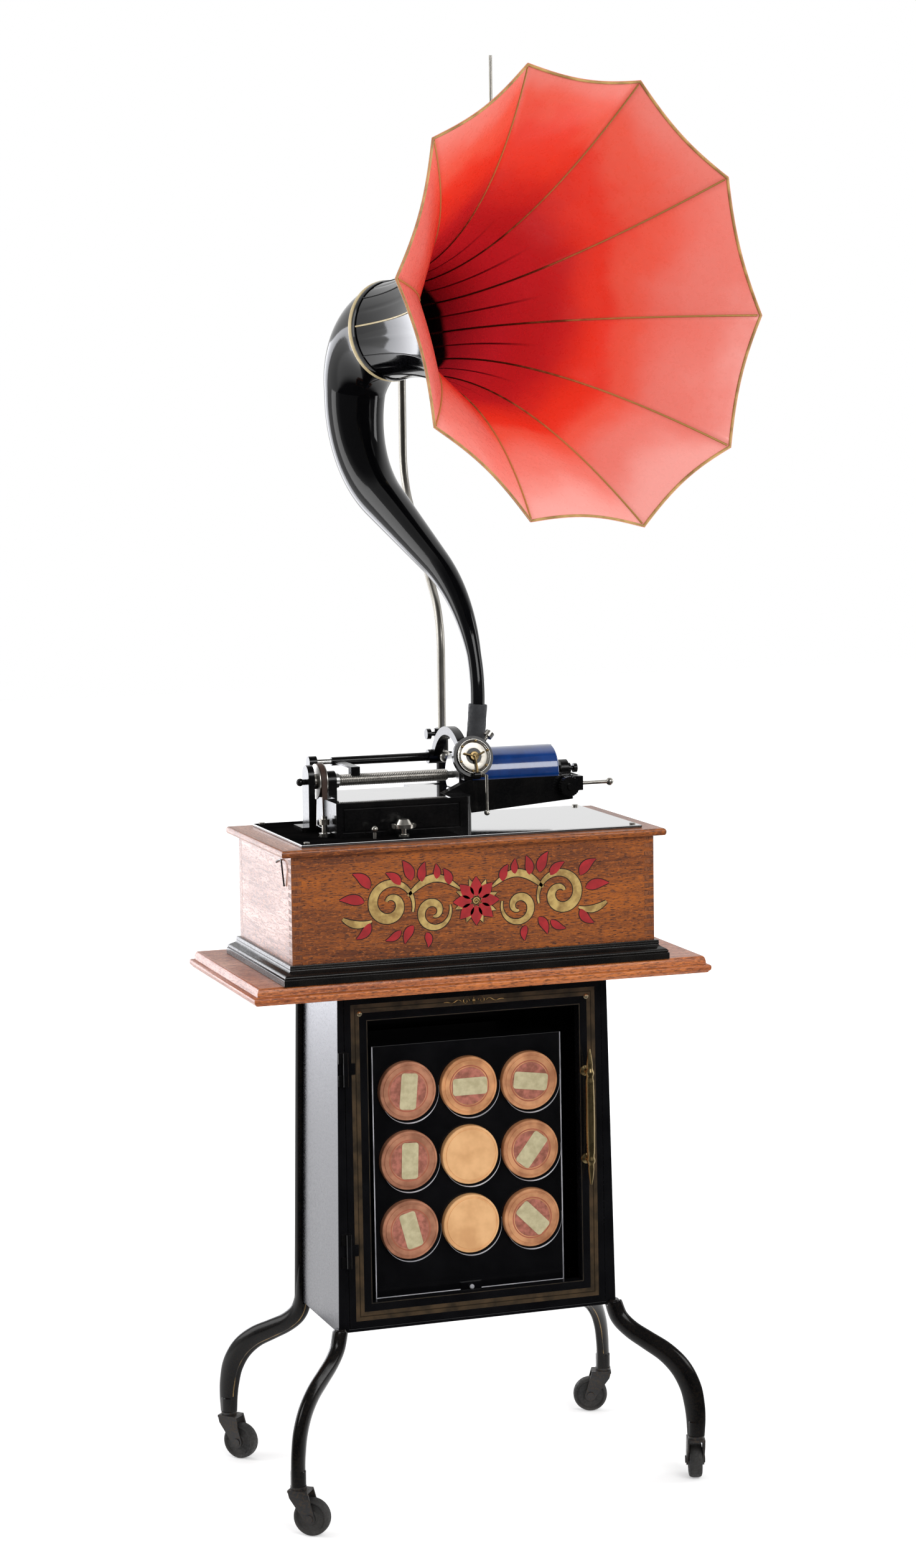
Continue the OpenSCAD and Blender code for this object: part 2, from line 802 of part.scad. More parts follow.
module record_cylinder() {
    color("#1c3f9c") placed() translate([record_x0, axis_y, axis_z]) rotate([0, 90, 0])
        rotate_extrude() polygon([
            [mandrel_at(record_x0) + run_fit, 0], [record_r - 1, 0], [record_r, 1],
            [record_r, record_len - 1], [record_r - 1, record_len],
            [mandrel_at(record_x1) + run_fit, record_len]
        ]);
}

// Body casting: box, two arms, shaft bearing and lugs for the guide rod

box_x0 = -135.4;
box_x1 = 6;
wing_x0 = -148;
wing_y1 = -14;
box_y0 = -58;
box_y1 = 54;
cast_top = bed_top + cast_h;
rail_y0 = axis_y - 47;
rail_y1 = axis_y - 35;
rail_top = axis_z - 2;
rail_x1 = record_x1 + 8;
guide_y = axis_y + 65;
guide_z = axis_z + 13;
arm_x1 = record_x1 + 25;

module body_casting() {
    color("#0f0f12") placed() difference() {
        union() {
            difference() {
                union() {
                    box(wing_x0, box_x1 - 12, box_y0, wing_y1, bed_top, cast_top);
                    box(box_x0, box_x1, box_y0 + 12, box_y1, bed_top, cast_top);
                    rod_z(box_x1 - 12, box_y0 + 12, bed_top, cast_top, 12);
                }
                box(
                    box_x0 + 5, box_x1 - 5, box_y0 + 5, box_y1 - 5, bed_top - 1, cast_top - 5
                );
                box(
                    wing_x0 + 5, box_x0 + 6, box_y0 + 5, wing_y1 - 5, bed_top - 1, cast_top - 5
                );
                difference() {
                    box(
                        wing_x0 + 7, box_x1 - 16, box_y0 - 1, box_y0 + 1.2,
                        bed_top + 5, cast_top - 5
                    );
                    box(
                        wing_x0 + 9, box_x1 - 18, box_y0 - 2, box_y0 + 2,
                        bed_top + 7, cast_top - 7
                    );
                }
            }
            box(bear_x0, bear_x1, axis_y - 11, axis_y + 11, cast_top - 1, axis_z);
            rod_x(bear_x0, bear_x1, axis_y, axis_z, 11);
            translate([0, rail_y1, 0]) rotate([90, 0, 0]) linear_extrude(rail_y1 - rail_y0)
                polygon([
                    [box_x1 - 24, cast_top - 20], [box_x1 + 8, cast_top - 22],
                    [rail_x1, rail_top - 26], [rail_x1, rail_top],
                    [box_x1 + 4, rail_top], [box_x1 - 24, cast_top]
                ]);
            box(box_x0, bear_x1, box_y1 - 6, guide_y + 7, cast_top - 14, cast_top);
            box(box_x0, box_x0 + 9, guide_y - 7, guide_y + 7, cast_top - 1, guide_z);
            rod_x(box_x0, box_x0 + 9, guide_y, guide_z, 7);
            translate([0, guide_y + 5, 0]) rotate([90, 0, 0]) linear_extrude(10)
                polygon([
                    [box_x1 - 30, cast_top - 20], [arm_x1, cast_top - 12],
                    [arm_x1, cast_top + 4], [box_x1 - 10, cast_top - 2],
                    [box_x1 - 30, cast_top - 2]
                ]);
            box(
                box_x1 - 30, box_x1, box_y1 - 6, guide_y + 5, cast_top - 20, cast_top - 2
            );
            box(arm_x1 - 9, arm_x1, guide_y - 7, guide_y + 7, cast_top - 8, guide_z);
            rod_x(arm_x1 - 9, arm_x1, guide_y, guide_z, 7);
            box(
                gate_x - 8, gate_x + 8, gate_y - 8, guide_y - 4,
                gate_z0 - 8, gate_z0 - air
            );
        }
        rod_x(bear_x0 - 1, bear_x1 + 1, axis_y, axis_z, shaft_r + run_fit);
        rod_x(box_x0 + 2, arm_x1 + 1, guide_y, guide_z, guide_r);
        rod_z(gate_x, gate_y, gate_z0 - 20, gate_z0 + 5, gate_pin_r + run_fit);
    }
}

module shaft_pedestal() {
    color("#141416") placed() difference() {
        union() {
            box(ped_x0, ped_x1, axis_y - 12, axis_y + 12, bed_top, axis_z + 6);
            rod_x(ped_x0, ped_x1, axis_y, axis_z + 6, 12);
            box(ped_x0 - 9, ped_x1, axis_y - 16, axis_y + 16, bed_top, bed_top + 5);
            rod_x(ped_x0 - 5, ped_x0 + eps, axis_y, axis_z, 3);
            translate([ped_x0 - 6, axis_y, axis_z]) sphere(r = 4.2);
        }
        rod_x(ped_x0 + 2, ped_x1 + 1, axis_y, axis_z, shaft_r + run_fit);
    }
}

module guide_rod() {
    color("#b9b9b4") placed()
        rod_x(box_x0 + 2, arm_x1 - 0.5, guide_y, guide_z, guide_r);
}

// End gate, which swings out on an upright pin in the front arm

gate_t = 9;
gate_in = rail_x1 + 1.4;
gate_x = gate_in + gate_t / 2;
gate_y = axis_y + 40;
gate_pin_r = 3;
gate_z0 = cast_top - 3.5;
gate_z1 = rail_top - 1;
latch_x = gate_in - 9;
latch_y = rail_y0 - air;
latch_z = rail_top - 11;
knob_z = rail_top - 10;

module end_gate() {
    color("#1a1a1d") placed() {
        difference() {
            union() {
                rod_z(gate_x, gate_y, gate_z0, gate_z1, 7);
                box(gate_in, gate_in + gate_t, axis_y, gate_y, gate_z0, gate_z1);
                box(gate_in, gate_in + gate_t, latch_y - 4, axis_y, gate_z0, gate_z1);
                box(latch_x - 5, gate_in + 1, latch_y - 4, latch_y, gate_z0, gate_z1);
                box(gate_in, gate_in + gate_t, axis_y - 10, axis_y + 10, gate_z0, axis_z);
                rod_x(gate_in, gate_in + gate_t, axis_y, axis_z, 10);
            }
            rod_x(gate_in - 1, centre_x + air, axis_y, axis_z, shaft_r + air);
        }
        rod_z(gate_x, gate_y, gate_z0 - 8, gate_z0 + eps, gate_pin_r);
        translate([centre_x - 2.6, axis_y, axis_z]) rotate([0, 90, 0])
            cylinder(h = 2.9 + eps, r1 = 0.1, r2 = 2.4);
        rod_x(centre_x + air, gate_in + gate_t + 12, axis_y, axis_z, 2.4);
        rod_x(gate_in + gate_t, gate_in + gate_t + 4, axis_y, axis_z, 6);
        rod_x(gate_in + gate_t + 8, gate_in + gate_t + 12, axis_y, axis_z, 5);
        rod_x(gate_in + gate_t - 1, gate_in + gate_t + 34, latch_y + 6, knob_z, 2);
        translate([gate_in + gate_t + 35, latch_y + 6, knob_z]) sphere(r = 4.2);
        rod_y(latch_x, latch_y - 14, latch_y - 3, latch_z, 3.5);
        difference() {
            rod_y(latch_x, latch_y - 12, latch_y - 4, latch_z, 11);
            for (a = [0 : 15 : 345]) translate([latch_x, 0, latch_z]) rotate([0, a, 0])
                rod_y(11.2, latch_y - 13, latch_y - 3, 0, 0.8);
        }
    }
}

// Carriage: long sleeve on the guide rod with the feed nut's arm, arch over the mandrel,
// foot on the rail, and the eye that holds the sound box

car_x = 18.5;
arch_y = axis_y + 12;
arch_z = axis_z - 7;
arch_r = 58;
arch_t = 9;
arch_x0 = car_x - 12;
arch_w = 10;
sleeve_r = 4.8;
strip_t = 2.2;
strip_z = guide_z - 1;
eye_w = 4;
eye_t = 6;

module carriage_arm() {
    color("#17171a") placed() difference() {
        union() {
            rod_x(nut_x - 1, arch_x0 + arch_w + 14, guide_y, guide_z, sleeve_r);
            rod_x(arch_x0 - 4, arch_x0 + arch_w + 5, guide_y, guide_z, sleeve_r + 3);
            translate([arch_x0, 0, 0]) rotate([90, 0, 90])
                linear_extrude(arch_w) difference() {
                    translate([arch_y, arch_z]) circle(arch_r);
                    translate([arch_y, arch_z]) circle(arch_r - arch_t);
                    translate([arch_y - 2 * arch_r, arch_z - 2 * arch_r])
                        square([4 * arch_r, 2 * arch_r + 22]);
                }
            box(
                arch_x0, arch_x0 + arch_w, guide_y - 4, guide_y + 5,
                guide_z, arch_z + 26
            );
            box(
                arch_x0, arch_x0 + arch_w, rail_y0 + 2, rail_y1 - 1,
                rail_top + air, arch_z + 28
            );
            box(nut_x, nut_x + nut_w, axis_y, guide_y - 3.5, strip_z, strip_z + strip_t);
            box(
                nut_x, nut_x + nut_w, axis_y - 5, axis_y + 5,
                axis_z + 2, strip_z + strip_t
            );
            sound_place() translate([0, 0, -1]) cylinder(h = eye_t, r = sound_r + eye_w);
            rod_x(lever_x - 12, lever_x - 5, lever_y, lever_z, 4.2);
            box(
                lever_x - 12, lever_x - 5, lever_y, lever_y + 8,
                lever_z - 3, lever_z + 1
            );
            sound_place() rotate([0, 0, clamp_turn]) translate([sound_r + 1, 0, 2])
                rotate([0, 90, 0]) {
                    cylinder(h = 15, r = 1.8);
                    translate([0, 0, 9]) cylinder(h = 6, r = 5.2);
                }
        }
        rod_x(nut_x - 2, arch_x0 + arch_w + 15, guide_y, guide_z, guide_r + run_fit);
        rod_x(nut_x - 2, nut_x + nut_w + 1, axis_y, axis_z, screw_r + air);
        sound_place() {
            translate([0, 0, -2]) cylinder(h = 22, r = sound_r + run_fit);
            translate([0, 0, -12]) cylinder(h = 12, r = boss_r + air);
        }
        rod_x(lever_x - 13, lever_x - 4, lever_y, lever_z, lever_pin + run_fit);
    }
}

// Sound box: a flat drum facing forward and a little up, with the horn's ball behind it

sound_tilt = 15;
sound_y = -17;
sound_z = axis_z + 22;
sound_t = 9;
boss_r = 7;
foot_x = 31.3;
foot_y = 5;
foot_z = axis_z + 42;
ball_r = 6.2;
pipe_r = 4;
pipe_z = foot_z - 11;
pipe_run = [foot_x - car_x, foot_y - sound_y - 6, pipe_z - sound_z];
clamp_turn = 48;

module sound_place() {
    translate([car_x, sound_y, sound_z]) rotate([90 - sound_tilt, 0, 0]) children();
}

module sound_box() {
    color("#cfcabb") placed() {
        sound_place() {
            difference() {
                translate([0, 0, -1]) cylinder(h = sound_t, r = sound_r);
                translate([0, 0, sound_t - 2.5]) cylinder(h = 2, r = sound_r - 3);
            }
            cylinder(h = sound_t + 0.5, r = 4.5);
            translate([0, 0, -7]) cylinder(h = 7, r = boss_r);
        }
        rod_z(foot_x, foot_y, pipe_z, foot_z, pipe_r);
        translate([foot_x, foot_y, foot_z]) sphere(r = ball_r);
        translate([foot_x, foot_y, pipe_z]) sphere(r = pipe_r);
        translate([car_x, sound_y + 6, sound_z])
            rotate([0, 0, atan2(pipe_run[1], pipe_run[0])])
            rotate([0, acos(pipe_run[2] / norm(pipe_run)), 0])
            cylinder(h = norm(pipe_run), r = pipe_r - 0.1);
        translate([car_x, sound_y + 6, sound_z - 4])
            rotate([90 + atan2(sound_z - 4 - axis_z, axis_y - sound_y - 6), 0, 0])
            translate([0, 0, -stylus_len]) cylinder(h = stylus_len, r1 = 0.6, r2 = 2.6);
    }
}

stylus_len = norm([sound_z - 4 - axis_z, axis_y - sound_y - 6]) - record_r - air;

// Lift lever, hanging in front of the rail from a lug on the eye

lever_x = car_x + 9;
lever_pin = 1.8;
lever_y = sound_y - 13.5;
lever_z = sound_z - 18;
lever_front = rail_y0 - 19;
lever_drop = 38;

module lift_lever() {
    color("#bdbdb8") placed() {
        rod_x(lever_x - 12, lever_x - 1, lever_y, lever_z, lever_pin);
        rod_x(lever_x - 5 + air, lever_x - 1, lever_y, lever_z, 2.8);
        box(
            lever_x - 4, lever_x - 1.6, lever_front, lever_y,
            lever_z - 1.6, lever_z + 1.6
        );
        rod_z(lever_x - 2.8, lever_front, lever_z - lever_drop, lever_z + 1.6, 1.6);
        translate([lever_x - 2.8, lever_front, lever_z - lever_drop - 1]) sphere(r = 3.2);
    }
}

// Controls on the bedplate

speed_x = -155;
speed_y = -38;
brake_x = -79;
brake_y = -74;

module speed_screw() {
    color("#c9c3b0") placed() {
        rod_z(speed_x, speed_y, case_top - 22, bed_top + 22, 3);
        rod_z(speed_x, speed_y, bed_top + air, bed_top + 4, 6);
        rod_z(speed_x, speed_y, bed_top + 13, bed_top + 19, 4.6);
        for (a = [0 : 30 : 330]) translate([speed_x, speed_y, 0]) rotate([0, 0, a])
            box(4, 5.3, -0.6, 0.6, bed_top + 13, bed_top + 19);
    }
}

module brake_knob() {
    color("#b9b5a6") placed() {
        rod_z(brake_x, brake_y, case_top - 16, bed_top + 13, 3);
        rod_z(brake_x, brake_y, bed_top + air, bed_top + 3, 6);
        rod_z(brake_x, brake_y, bed_top + 10, bed_top + 14, 11);
        translate([brake_x, brake_y, bed_top + 14 - eps]) cylinder(h = 5, r1 = 9.5, r2 = 6);
        for (s = [-1, 1]) translate([brake_x + s * 11, brake_y, bed_top + 12])
            rotate([90, 0, 0]) cylinder(h = 4, r = 2.6, center = true);
    }
}

// Motor: frame, spring barrel, second shaft, governor and winding shaft, all along x

frame_x0 = -130;
frame_x1 = -30;
frame_y0 = -62;
frame_y1 = 70;
frame_t = 4;
frame_z0 = table_top + 6;
barrel_y = 12;
barrel_z = table_top + 50;
second_d = gear_m * (barrel_teeth + pinion_teeth) / 2;
second_y = axis_y;
second_z = barrel_z + sqrt(second_d * second_d - (second_y - barrel_y) * (second_y - barrel_y));
gov_angle = 12;
gov_d = gear_m * (second_teeth + governor_teeth) / 2;
gov_y = second_y - gov_d * cos(gov_angle);
gov_z = second_z + gov_d * sin(gov_angle);
crank_hole_r = 9;

// Outline of a spur wheel whose teeth are slim enough to run with plenty of play
function wheel_points(teeth, turn) = [
    for (k = [0 : teeth - 1]) for (q = [[-0.36, -1.15], [-0.13, 0.85], [0.13, 0.85], [0.36, -1.15]])
        let (a = turn + 360 * (k + q[0] * 0.62) / teeth, r = gear_m * (teeth / 2 + q[1]))
        [r * cos(a), r * sin(a)]
];

module wheel(teeth, turn, x0, x1, y, z, bore) {
    translate([x0, y, z]) rotate([90, 0, 90]) linear_extrude(x1 - x0) difference() {
        polygon(wheel_points(teeth, turn));
        circle(bore);
    }
}

// Angle from one axis to another in the plane across the shafts
to_second = atan2(second_z - barrel_z, second_y - barrel_y);
to_governor = atan2(gov_z - second_z, gov_y - second_y);

module motor_frame() {
    color("#3a3a3d") placed() difference() {
        union() {
            for (x = [frame_x0, frame_x1])
                box(x, x + frame_t, frame_y0, frame_y1, frame_z0, deck_top);
            for (y = [frame_y0 + 6, frame_y1 - 6]) for (z = [frame_z0 + 8])
                rod_x(frame_x0 + 1, frame_x1 + 1, y, z, 4);
            for (x = [frame_x0, frame_x1]) for (y = [frame_y0 + 8, frame_y1 - 8])
                rod_z(x + frame_t / 2, y, deck_top - 1, bed_top, 1.5);
        }
        rod_x(frame_x0 - 1, frame_x1 + 6, barrel_y, barrel_z, 5 + run_fit);
        rod_x(frame_x0 - 1, frame_x1 + 6, second_y, second_z, 3 + run_fit);
        rod_x(frame_x0 - 1, frame_x1 + 6, gov_y, gov_z, 2 + run_fit);
    }
}

barrel_x0 = frame_x0 + 32;
barrel_x1 = frame_x1 - 5;
great_x0 = barrel_x0 - 6;

module spring_barrel() {
    color("#8a8578") placed() {
        difference() {
            rod_x(barrel_x0 - eps, barrel_x1, barrel_y, barrel_z, gear_m * barrel_teeth / 2 - 4);
            rod_x(
                barrel_x0 + 3, barrel_x1 - 3, barrel_y, barrel_z,
                gear_m * barrel_teeth / 2 - 7
            );
            rod_x(barrel_x0 - 1, barrel_x1 + 1, barrel_y, barrel_z, 5 + run_fit);
        }
        wheel(barrel_teeth, to_second, great_x0, barrel_x0, barrel_y, barrel_z, 5 + run_fit);
    }
}

second_wheel_x = frame_x0 + 12;
drive_x = pulley_x;

module second_shaft() {
    color("#9a958a") placed() {
        rod_x(drive_x - 4, frame_x1 + frame_t + 2, second_y, second_z, 3);
        wheel(
            pinion_teeth, to_second + 180 + 180 / pinion_teeth, great_x0 - 1, barrel_x0 + 1,
            second_y, second_z, 2.9
        );
        wheel(
            second_teeth, to_governor, second_wheel_x, second_wheel_x + 4, second_y, second_z,
            2.9
        );
        translate([drive_x, second_y, second_z]) rotate([0, 90, 0]) rotate_extrude() polygon([
            [2.9, 0], [drive_r + 2, 0], [drive_r + 2, 1.2], [drive_r, 1.4],
            [drive_r, pulley_w - 1.4], [drive_r + 2, pulley_w - 1.2],
            [drive_r + 2, pulley_w], [2.9, pulley_w]
        ]);
    }
}

gov_mid = (frame_x0 + frame_x1) / 2 + 14;

module governor() {
    color("#b08d4f") placed() {
        rod_x(frame_x0 - 2, frame_x1 + frame_t + 2, gov_y, gov_z, 2);
        wheel(
            governor_teeth, to_governor + 180 + 180 / governor_teeth, second_wheel_x - 1,
            second_wheel_x + 5, gov_y, gov_z, 1.9
        );
        rod_x(gov_mid - 22, gov_mid - 17, gov_y, gov_z, 5);
        rod_x(gov_mid + 17, gov_mid + 20, gov_y, gov_z, 10);
        for (a = [30, 150, 270]) translate([gov_mid, gov_y, gov_z]) rotate([a, 0, 0]) {
            translate([0, 0, 8]) sphere(r = 3.6);
            box(-18, 18, -1.5, 1.5, 3.6, 4.4);
            rod_z(0, 0, 4, 6, 1.4);
            for (s = [-1, 1]) rod_z(s * 17.5, 0, 1.5, 4.4, 1.4);
        }
    }
}

module winding_shaft() {
    color("#6f6f72") placed() difference() {
        union() {
            rod_x(frame_x0 - 3, case_x1 - 4, barrel_y, barrel_z, 5);
            rod_x(frame_x1 + frame_t + 0.4, frame_x1 + frame_t + 6, barrel_y, barrel_z, 12);
            rod_x(case_x1 - 34, case_x1 - 4, barrel_y, barrel_z, 8);
        }
        rod_x(case_x1 - 28, case_x1 - 3, barrel_y, barrel_z, crank_bore_r);
        for (s = [-1, 1])
            box(
                case_x1 - 16, case_x1 - 3, barrel_y - 1.2, barrel_y + 1.2,
                barrel_z + s * 6.5 - 2.5, barrel_z + s * 6.5 + 2.5
            );
    }
}

crank_bore_r = 4.5;

// Flat belt round both pulleys, on straight runs that touch both circles
module belt_outline(grow) {
    gap = axis_z - second_z;
    r0 = drive_r + grow;
    r1 = pulley_r + grow;
    a = asin((r0 - r1) / gap);
    circle(r0);
    translate([0, gap]) circle(r1);
    polygon([
        [r0 * cos(a), r0 * sin(a)], [r1 * cos(a), gap + r1 * sin(a)],
        [-r1 * cos(a), gap + r1 * sin(a)], [-r0 * cos(a), r0 * sin(a)]
    ]);
}

module drive_belt() {
    color("#4a2f1d") placed() translate([pulley_x + 1.8, axis_y, second_z])
        rotate([90, 0, 90]) linear_extrude(pulley_w - 3.6) difference() {
            belt_outline(belt_t + air);
            belt_outline(air);
        }
}

// Horn. In its own frame +X is forward out of the bell and the origin is the ball it stands on

back_bend = 58;
back_r = 190;
run_len = 123;
up_r = 140;
last_r = 72;
neck_rise = 22;
seg_len = [
    neck_rise, back_r * back_bend * PI / 180, run_len, up_r * back_bend * PI / 180,
    last_r * (90 - bell_tilt) * PI / 180
];
seg_turn = [0, back_bend, 0, -back_bend, -(90 - bell_tilt)];
neck_end = 90;
crook_start = seg_len[0] + seg_len[1] + seg_len[2] + seg_len[3];
horn_len = crook_start + seg_len[4];

// Where the middle line is after a stretch: [forward, up, heading], heading 0 is straight up
function stretch(p, len, turn) = turn == 0
    ? [p[0] - len * sin(p[2]), p[1] + len * cos(p[2]), p[2]]
    : let (r = len * 180 / (PI * turn))
        [p[0] + r * (cos(p[2] + turn) - cos(p[2])), p[1] + r * (sin(p[2] + turn) - sin(p[2])),
            p[2] + turn];

function horn_at(s, k = 0, p = [0, 0, 0]) = s <= seg_len[k] || k == len(seg_len) - 1
    ? stretch(p, s, seg_turn[k] * s / seg_len[k])
    : horn_at(s - seg_len[k], k + 1, stretch(p, seg_len[k], seg_turn[k]));

// Outer radius of the tube along its middle line
function tube_r(s) = s < neck_end ? neck_r
    : s < crook_start ? neck_r + (crook_r - neck_r) * (s - neck_end) / (crook_start - neck_end)
    : crook_r + (collar_r - crook_r) * (s - crook_start) / (horn_len - crook_start);

tube_sides = 20;
tube_steps = 30;

function tube_ring(s, r) = let (p = horn_at(s)) [
    for (j = [0 : tube_sides - 1])
        let (a = 360 * j / tube_sides, u = r * cos(a), v = r * sin(a))
        [p[0] + u * cos(p[2]), -v, p[1] + u * sin(p[2])]
];

neck_start = 9;
horn_stops = [for (k = [0 : tube_steps]) neck_start + (horn_len - neck_start) * k / tube_steps];

module horn_place() {
    placed() translate([foot_x, foot_y, foot_z]) rotate([0, horn_lean, 0])
        rotate([0, 0, horn_yaw - 90]) children();
}

horn_end = horn_at(horn_len);

module bell_place() {
    horn_place() translate([horn_end[0], 0, horn_end[1]]) rotate([0, 90 - bell_tilt, 0]) children();
}

module horn_elbow() {
    color("#0c0c0e") {
        horn_place() difference() {
            skin([for (s = horn_stops) tube_ring(s, tube_r(s))]);
            skin([for (s = horn_stops)
                tube_ring(
                    s == neck_start ? s - 0.5 : s == horn_len ? s + 0.5 : s,
                    tube_r(s) - horn_wall
                )]);
        }
        bell_place() difference() {
            translate([0, 0, -7]) cylinder(h = 13, r = collar_r + 1.6);
            translate([0, 0, -8]) cylinder(h = 8, r = collar_r - 0.5);
            translate([0, 0, -eps]) cylinder(h = 15, r = collar_r + 0.12);
        }
    }
}

// Bell of ten panels, each bowed inwards between two seams

panels = 10;
panel_steps = 4;
bell_rings = 12;
panel_bow = 8;
bell_flare = 2.2;

function bell_r(t) = collar_r + (rim_r - collar_r) * pow(t, bell_flare);

function bell_ring(t, thin) = [
    for (k = [0 : panels - 1]) for (q = [0 : panel_steps - 1])
        let (
            u = q / panel_steps,
            a = 360 * (k + 0.5 + u) / panels,
            flat = cos(180 / panels) / cos(360 / panels * (u - 0.5)),
            bow = panel_bow * 4 * u * (1 - u) * t * t,
            r = bell_r(t) * (flat * t + 1 * (1 - t)) - bow - thin
        )
        [r * cos(a), -r * sin(a), bell_len * t]
];

module horn_bell() {
    color("#e2533d") bell_place() {
        difference() {
            skin([for (k = [0 : bell_rings]) bell_ring(k / bell_rings, 0)]);
            skin([for (k = [0 : bell_rings])
                bell_ring_at(k / bell_rings, k == 0 ? -1 : k == bell_rings ? 1 : 0)]);
        }
        translate([-ring_seat() - 1, 0, ring_at]) rotate([0, -90, 0]) cylinder(h = 4, r = 4);
        translate([-ring_seat() - 3.5 - ring_r, 0, ring_at]) rotate([90, 0, 0])
            rotate_extrude() translate([ring_r, 0]) circle(wire_r);
    }
}

function bell_ring_at(t, past) = [
    for (p = bell_ring(t, horn_wall)) [p[0], p[1], p[2] + past]
];

function ring_seat() = let (t = ring_at / bell_len)
    bell_r(t) * (cos(180 / panels) * t + 1 - t) - panel_bow * t * t;

ring_r = 8;
wire_r = 1.6;

cuff_h = 43;

// Rubber cuff, its bore following the neck as that starts to bend
module horn_cuff() {
    color("#26282b") horn_place() difference() {
        translate([0, 0, -8]) cylinder(h = cuff_h, r = neck_r + 2.5);
        translate([0, 0, -9]) cylinder(h = 9 + neck_start, r = ball_r + run_fit);
        skin([for (s = horn_stops) if (s < 2 * cuff_h)
            tube_ring(s == neck_start ? s - eps : s, tube_r(s) + run_fit)]);
    }
}

// The ring's place in the stand's own frame, from the horn's frame
function out_of_bell(p) = let (c = cos(90 - bell_tilt), s = sin(90 - bell_tilt)) [
    horn_end[0] + c * p[0] + s * p[2], p[1], horn_end[1] - s * p[0] + c * p[2]
];

function out_of_horn(p) = let (
    cy = cos(horn_yaw - 90), sy = sin(horn_yaw - 90), cl = cos(horn_lean), sl = sin(horn_lean),
    q = [cy * p[0] - sy * p[1], sy * p[0] + cy * p[1], p[2]]
) [foot_x + cl * q[0] + sl * q[2], foot_y + q[1], foot_z - sl * q[0] + cl * q[2]];

ring_mid = out_of_horn(out_of_bell([-ring_seat() - 3.5 - ring_r, 0, ring_at]));
ring_side = horn_yaw;
hook_r = 5;
hook_gap = 3.2;

// The hanger's shank stands a hook's radius to the side of the ring
hang_x = ring_mid[0] + hook_r * cos(ring_side);
hang_y = ring_mid[1] + hook_r * sin(ring_side);
hook_z = ring_mid[2] + ring_r - 2 * wire_r - hook_gap + hook_r;
tip_z = ring_mid[2] + hang_h;
hanger_r = 1.8;
hanger_up = 90;

module horn_hanger() {
    color("#9a9a98") placed() {
        rod_z(hang_x, hang_y, hook_z - eps, tip_z + hanger_up, hanger_r);
        translate([ring_mid[0], ring_mid[1], hook_z]) rotate([0, 0, ring_side])
            rotate([90, 0, 0]) rotate([0, 0, 150]) rotate_extrude(angle = 210)
                translate([hook_r, 0]) circle(hanger_r - 0.2);
        rod_z(hang_x, hang_y, tip_z + 5, tip_z + 11, 6);
        for (a = [0 : 30 : 330]) translate([hang_x, hang_y, 0]) rotate([0, 0, a])
            box(5, 6.8, -0.8, 0.8, tip_z + 5, tip_z + 11);
        rod_z(hang_x, hang_y, tip_z + 11, tip_z + 14, 4);
    }
}

// Crane: a bent rod in a socket behind the case, up behind the horn and over to the hanger

crane_x = 32;
crane_y = case_y1 + 17;
crane_z0 = table_top + 40;
socket_top = axis_z + 40;
out_x = 49;
out_y = 296;
low_z = axis_z + 126;
low_r = 80;
bend = 50;
high_r = 150;
tip_r = 60;

low_run = norm([out_x - crane_x, out_y - crane_y]);
low_turn = atan2(out_y - crane_y, out_x - crane_x);
low_len = (low_run - 2 * low_r * (1 - cos(bend))) / sin(bend);
low_rise = 2 * low_r * sin(bend) + low_len * cos(bend);
high_run = norm([hang_x - out_x, hang_y - out_y]);
high_turn = atan2(hang_y - out_y, hang_x - out_x);
high_len = (high_run - high_r * (1 - cos(bend)) - tip_r * cos(bend) - 8) / sin(bend);
high_z = tip_z - high_r * sin(bend) - high_len * cos(bend) - tip_r * (1 - sin(bend));

// Stations along the rod: [distance over the ground, height, heading from upright]
crane_steps = 7;
low_path = concat(
    [[0, crane_z0 + 6, 0]],
    [for (k = [0 : crane_steps]) let (h = bend * k / crane_steps)
        [low_r * (1 - cos(h)), low_z + low_r * sin(h), h]],
    [for (k = [0 : crane_steps]) let (h = bend * (1 - k / crane_steps))
        [low_run - low_r * (1 - cos(h)), low_z + low_rise - low_r * sin(h), h]]
);
high_path = concat(
    [for (k = [0 : crane_steps]) let (h = bend * k / crane_steps)
        [high_r * (1 - cos(h)), high_z + high_r * sin(h), h]],
    [for (k = [0 : crane_steps]) let (h = bend + (90 - bend) * k / crane_steps)
        [high_run - 8 - tip_r * cos(h), tip_z - tip_r + tip_r * sin(h), h]],
    [[high_run, tip_z, 90]]
);
crane_sides = 16;

// One ring of the rod, square to its path, which heads over the ground towards turn
function crane_ring(x, y, turn, s) = [
    for (j = [0 : crane_sides - 1])
        let (
            a = -360 * j / crane_sides - turn,
            u = crane_r * cos(a), v = crane_r * sin(a),
            d = s[0] + u * cos(s[2])
        )
        [
            x + d * cos(turn) - v * sin(turn), y + d * sin(turn) + v * cos(turn),
            s[1] - u * sin(s[2])
        ]
];

module crane_rod() {
    color("#55565a") placed() difference() {
        union() {
            skin(concat(
                [for (s = low_path) crane_ring(crane_x, crane_y, low_turn, s)],
                [for (s = high_path) crane_ring(out_x, out_y, high_turn, s)]
            ));
            rod_z(hang_x, hang_y, tip_z - 5, tip_z + 5, 7);
        }
        rod_z(hang_x, hang_y, tip_z - 8, tip_z + 8, hanger_r + run_fit);
    }
}

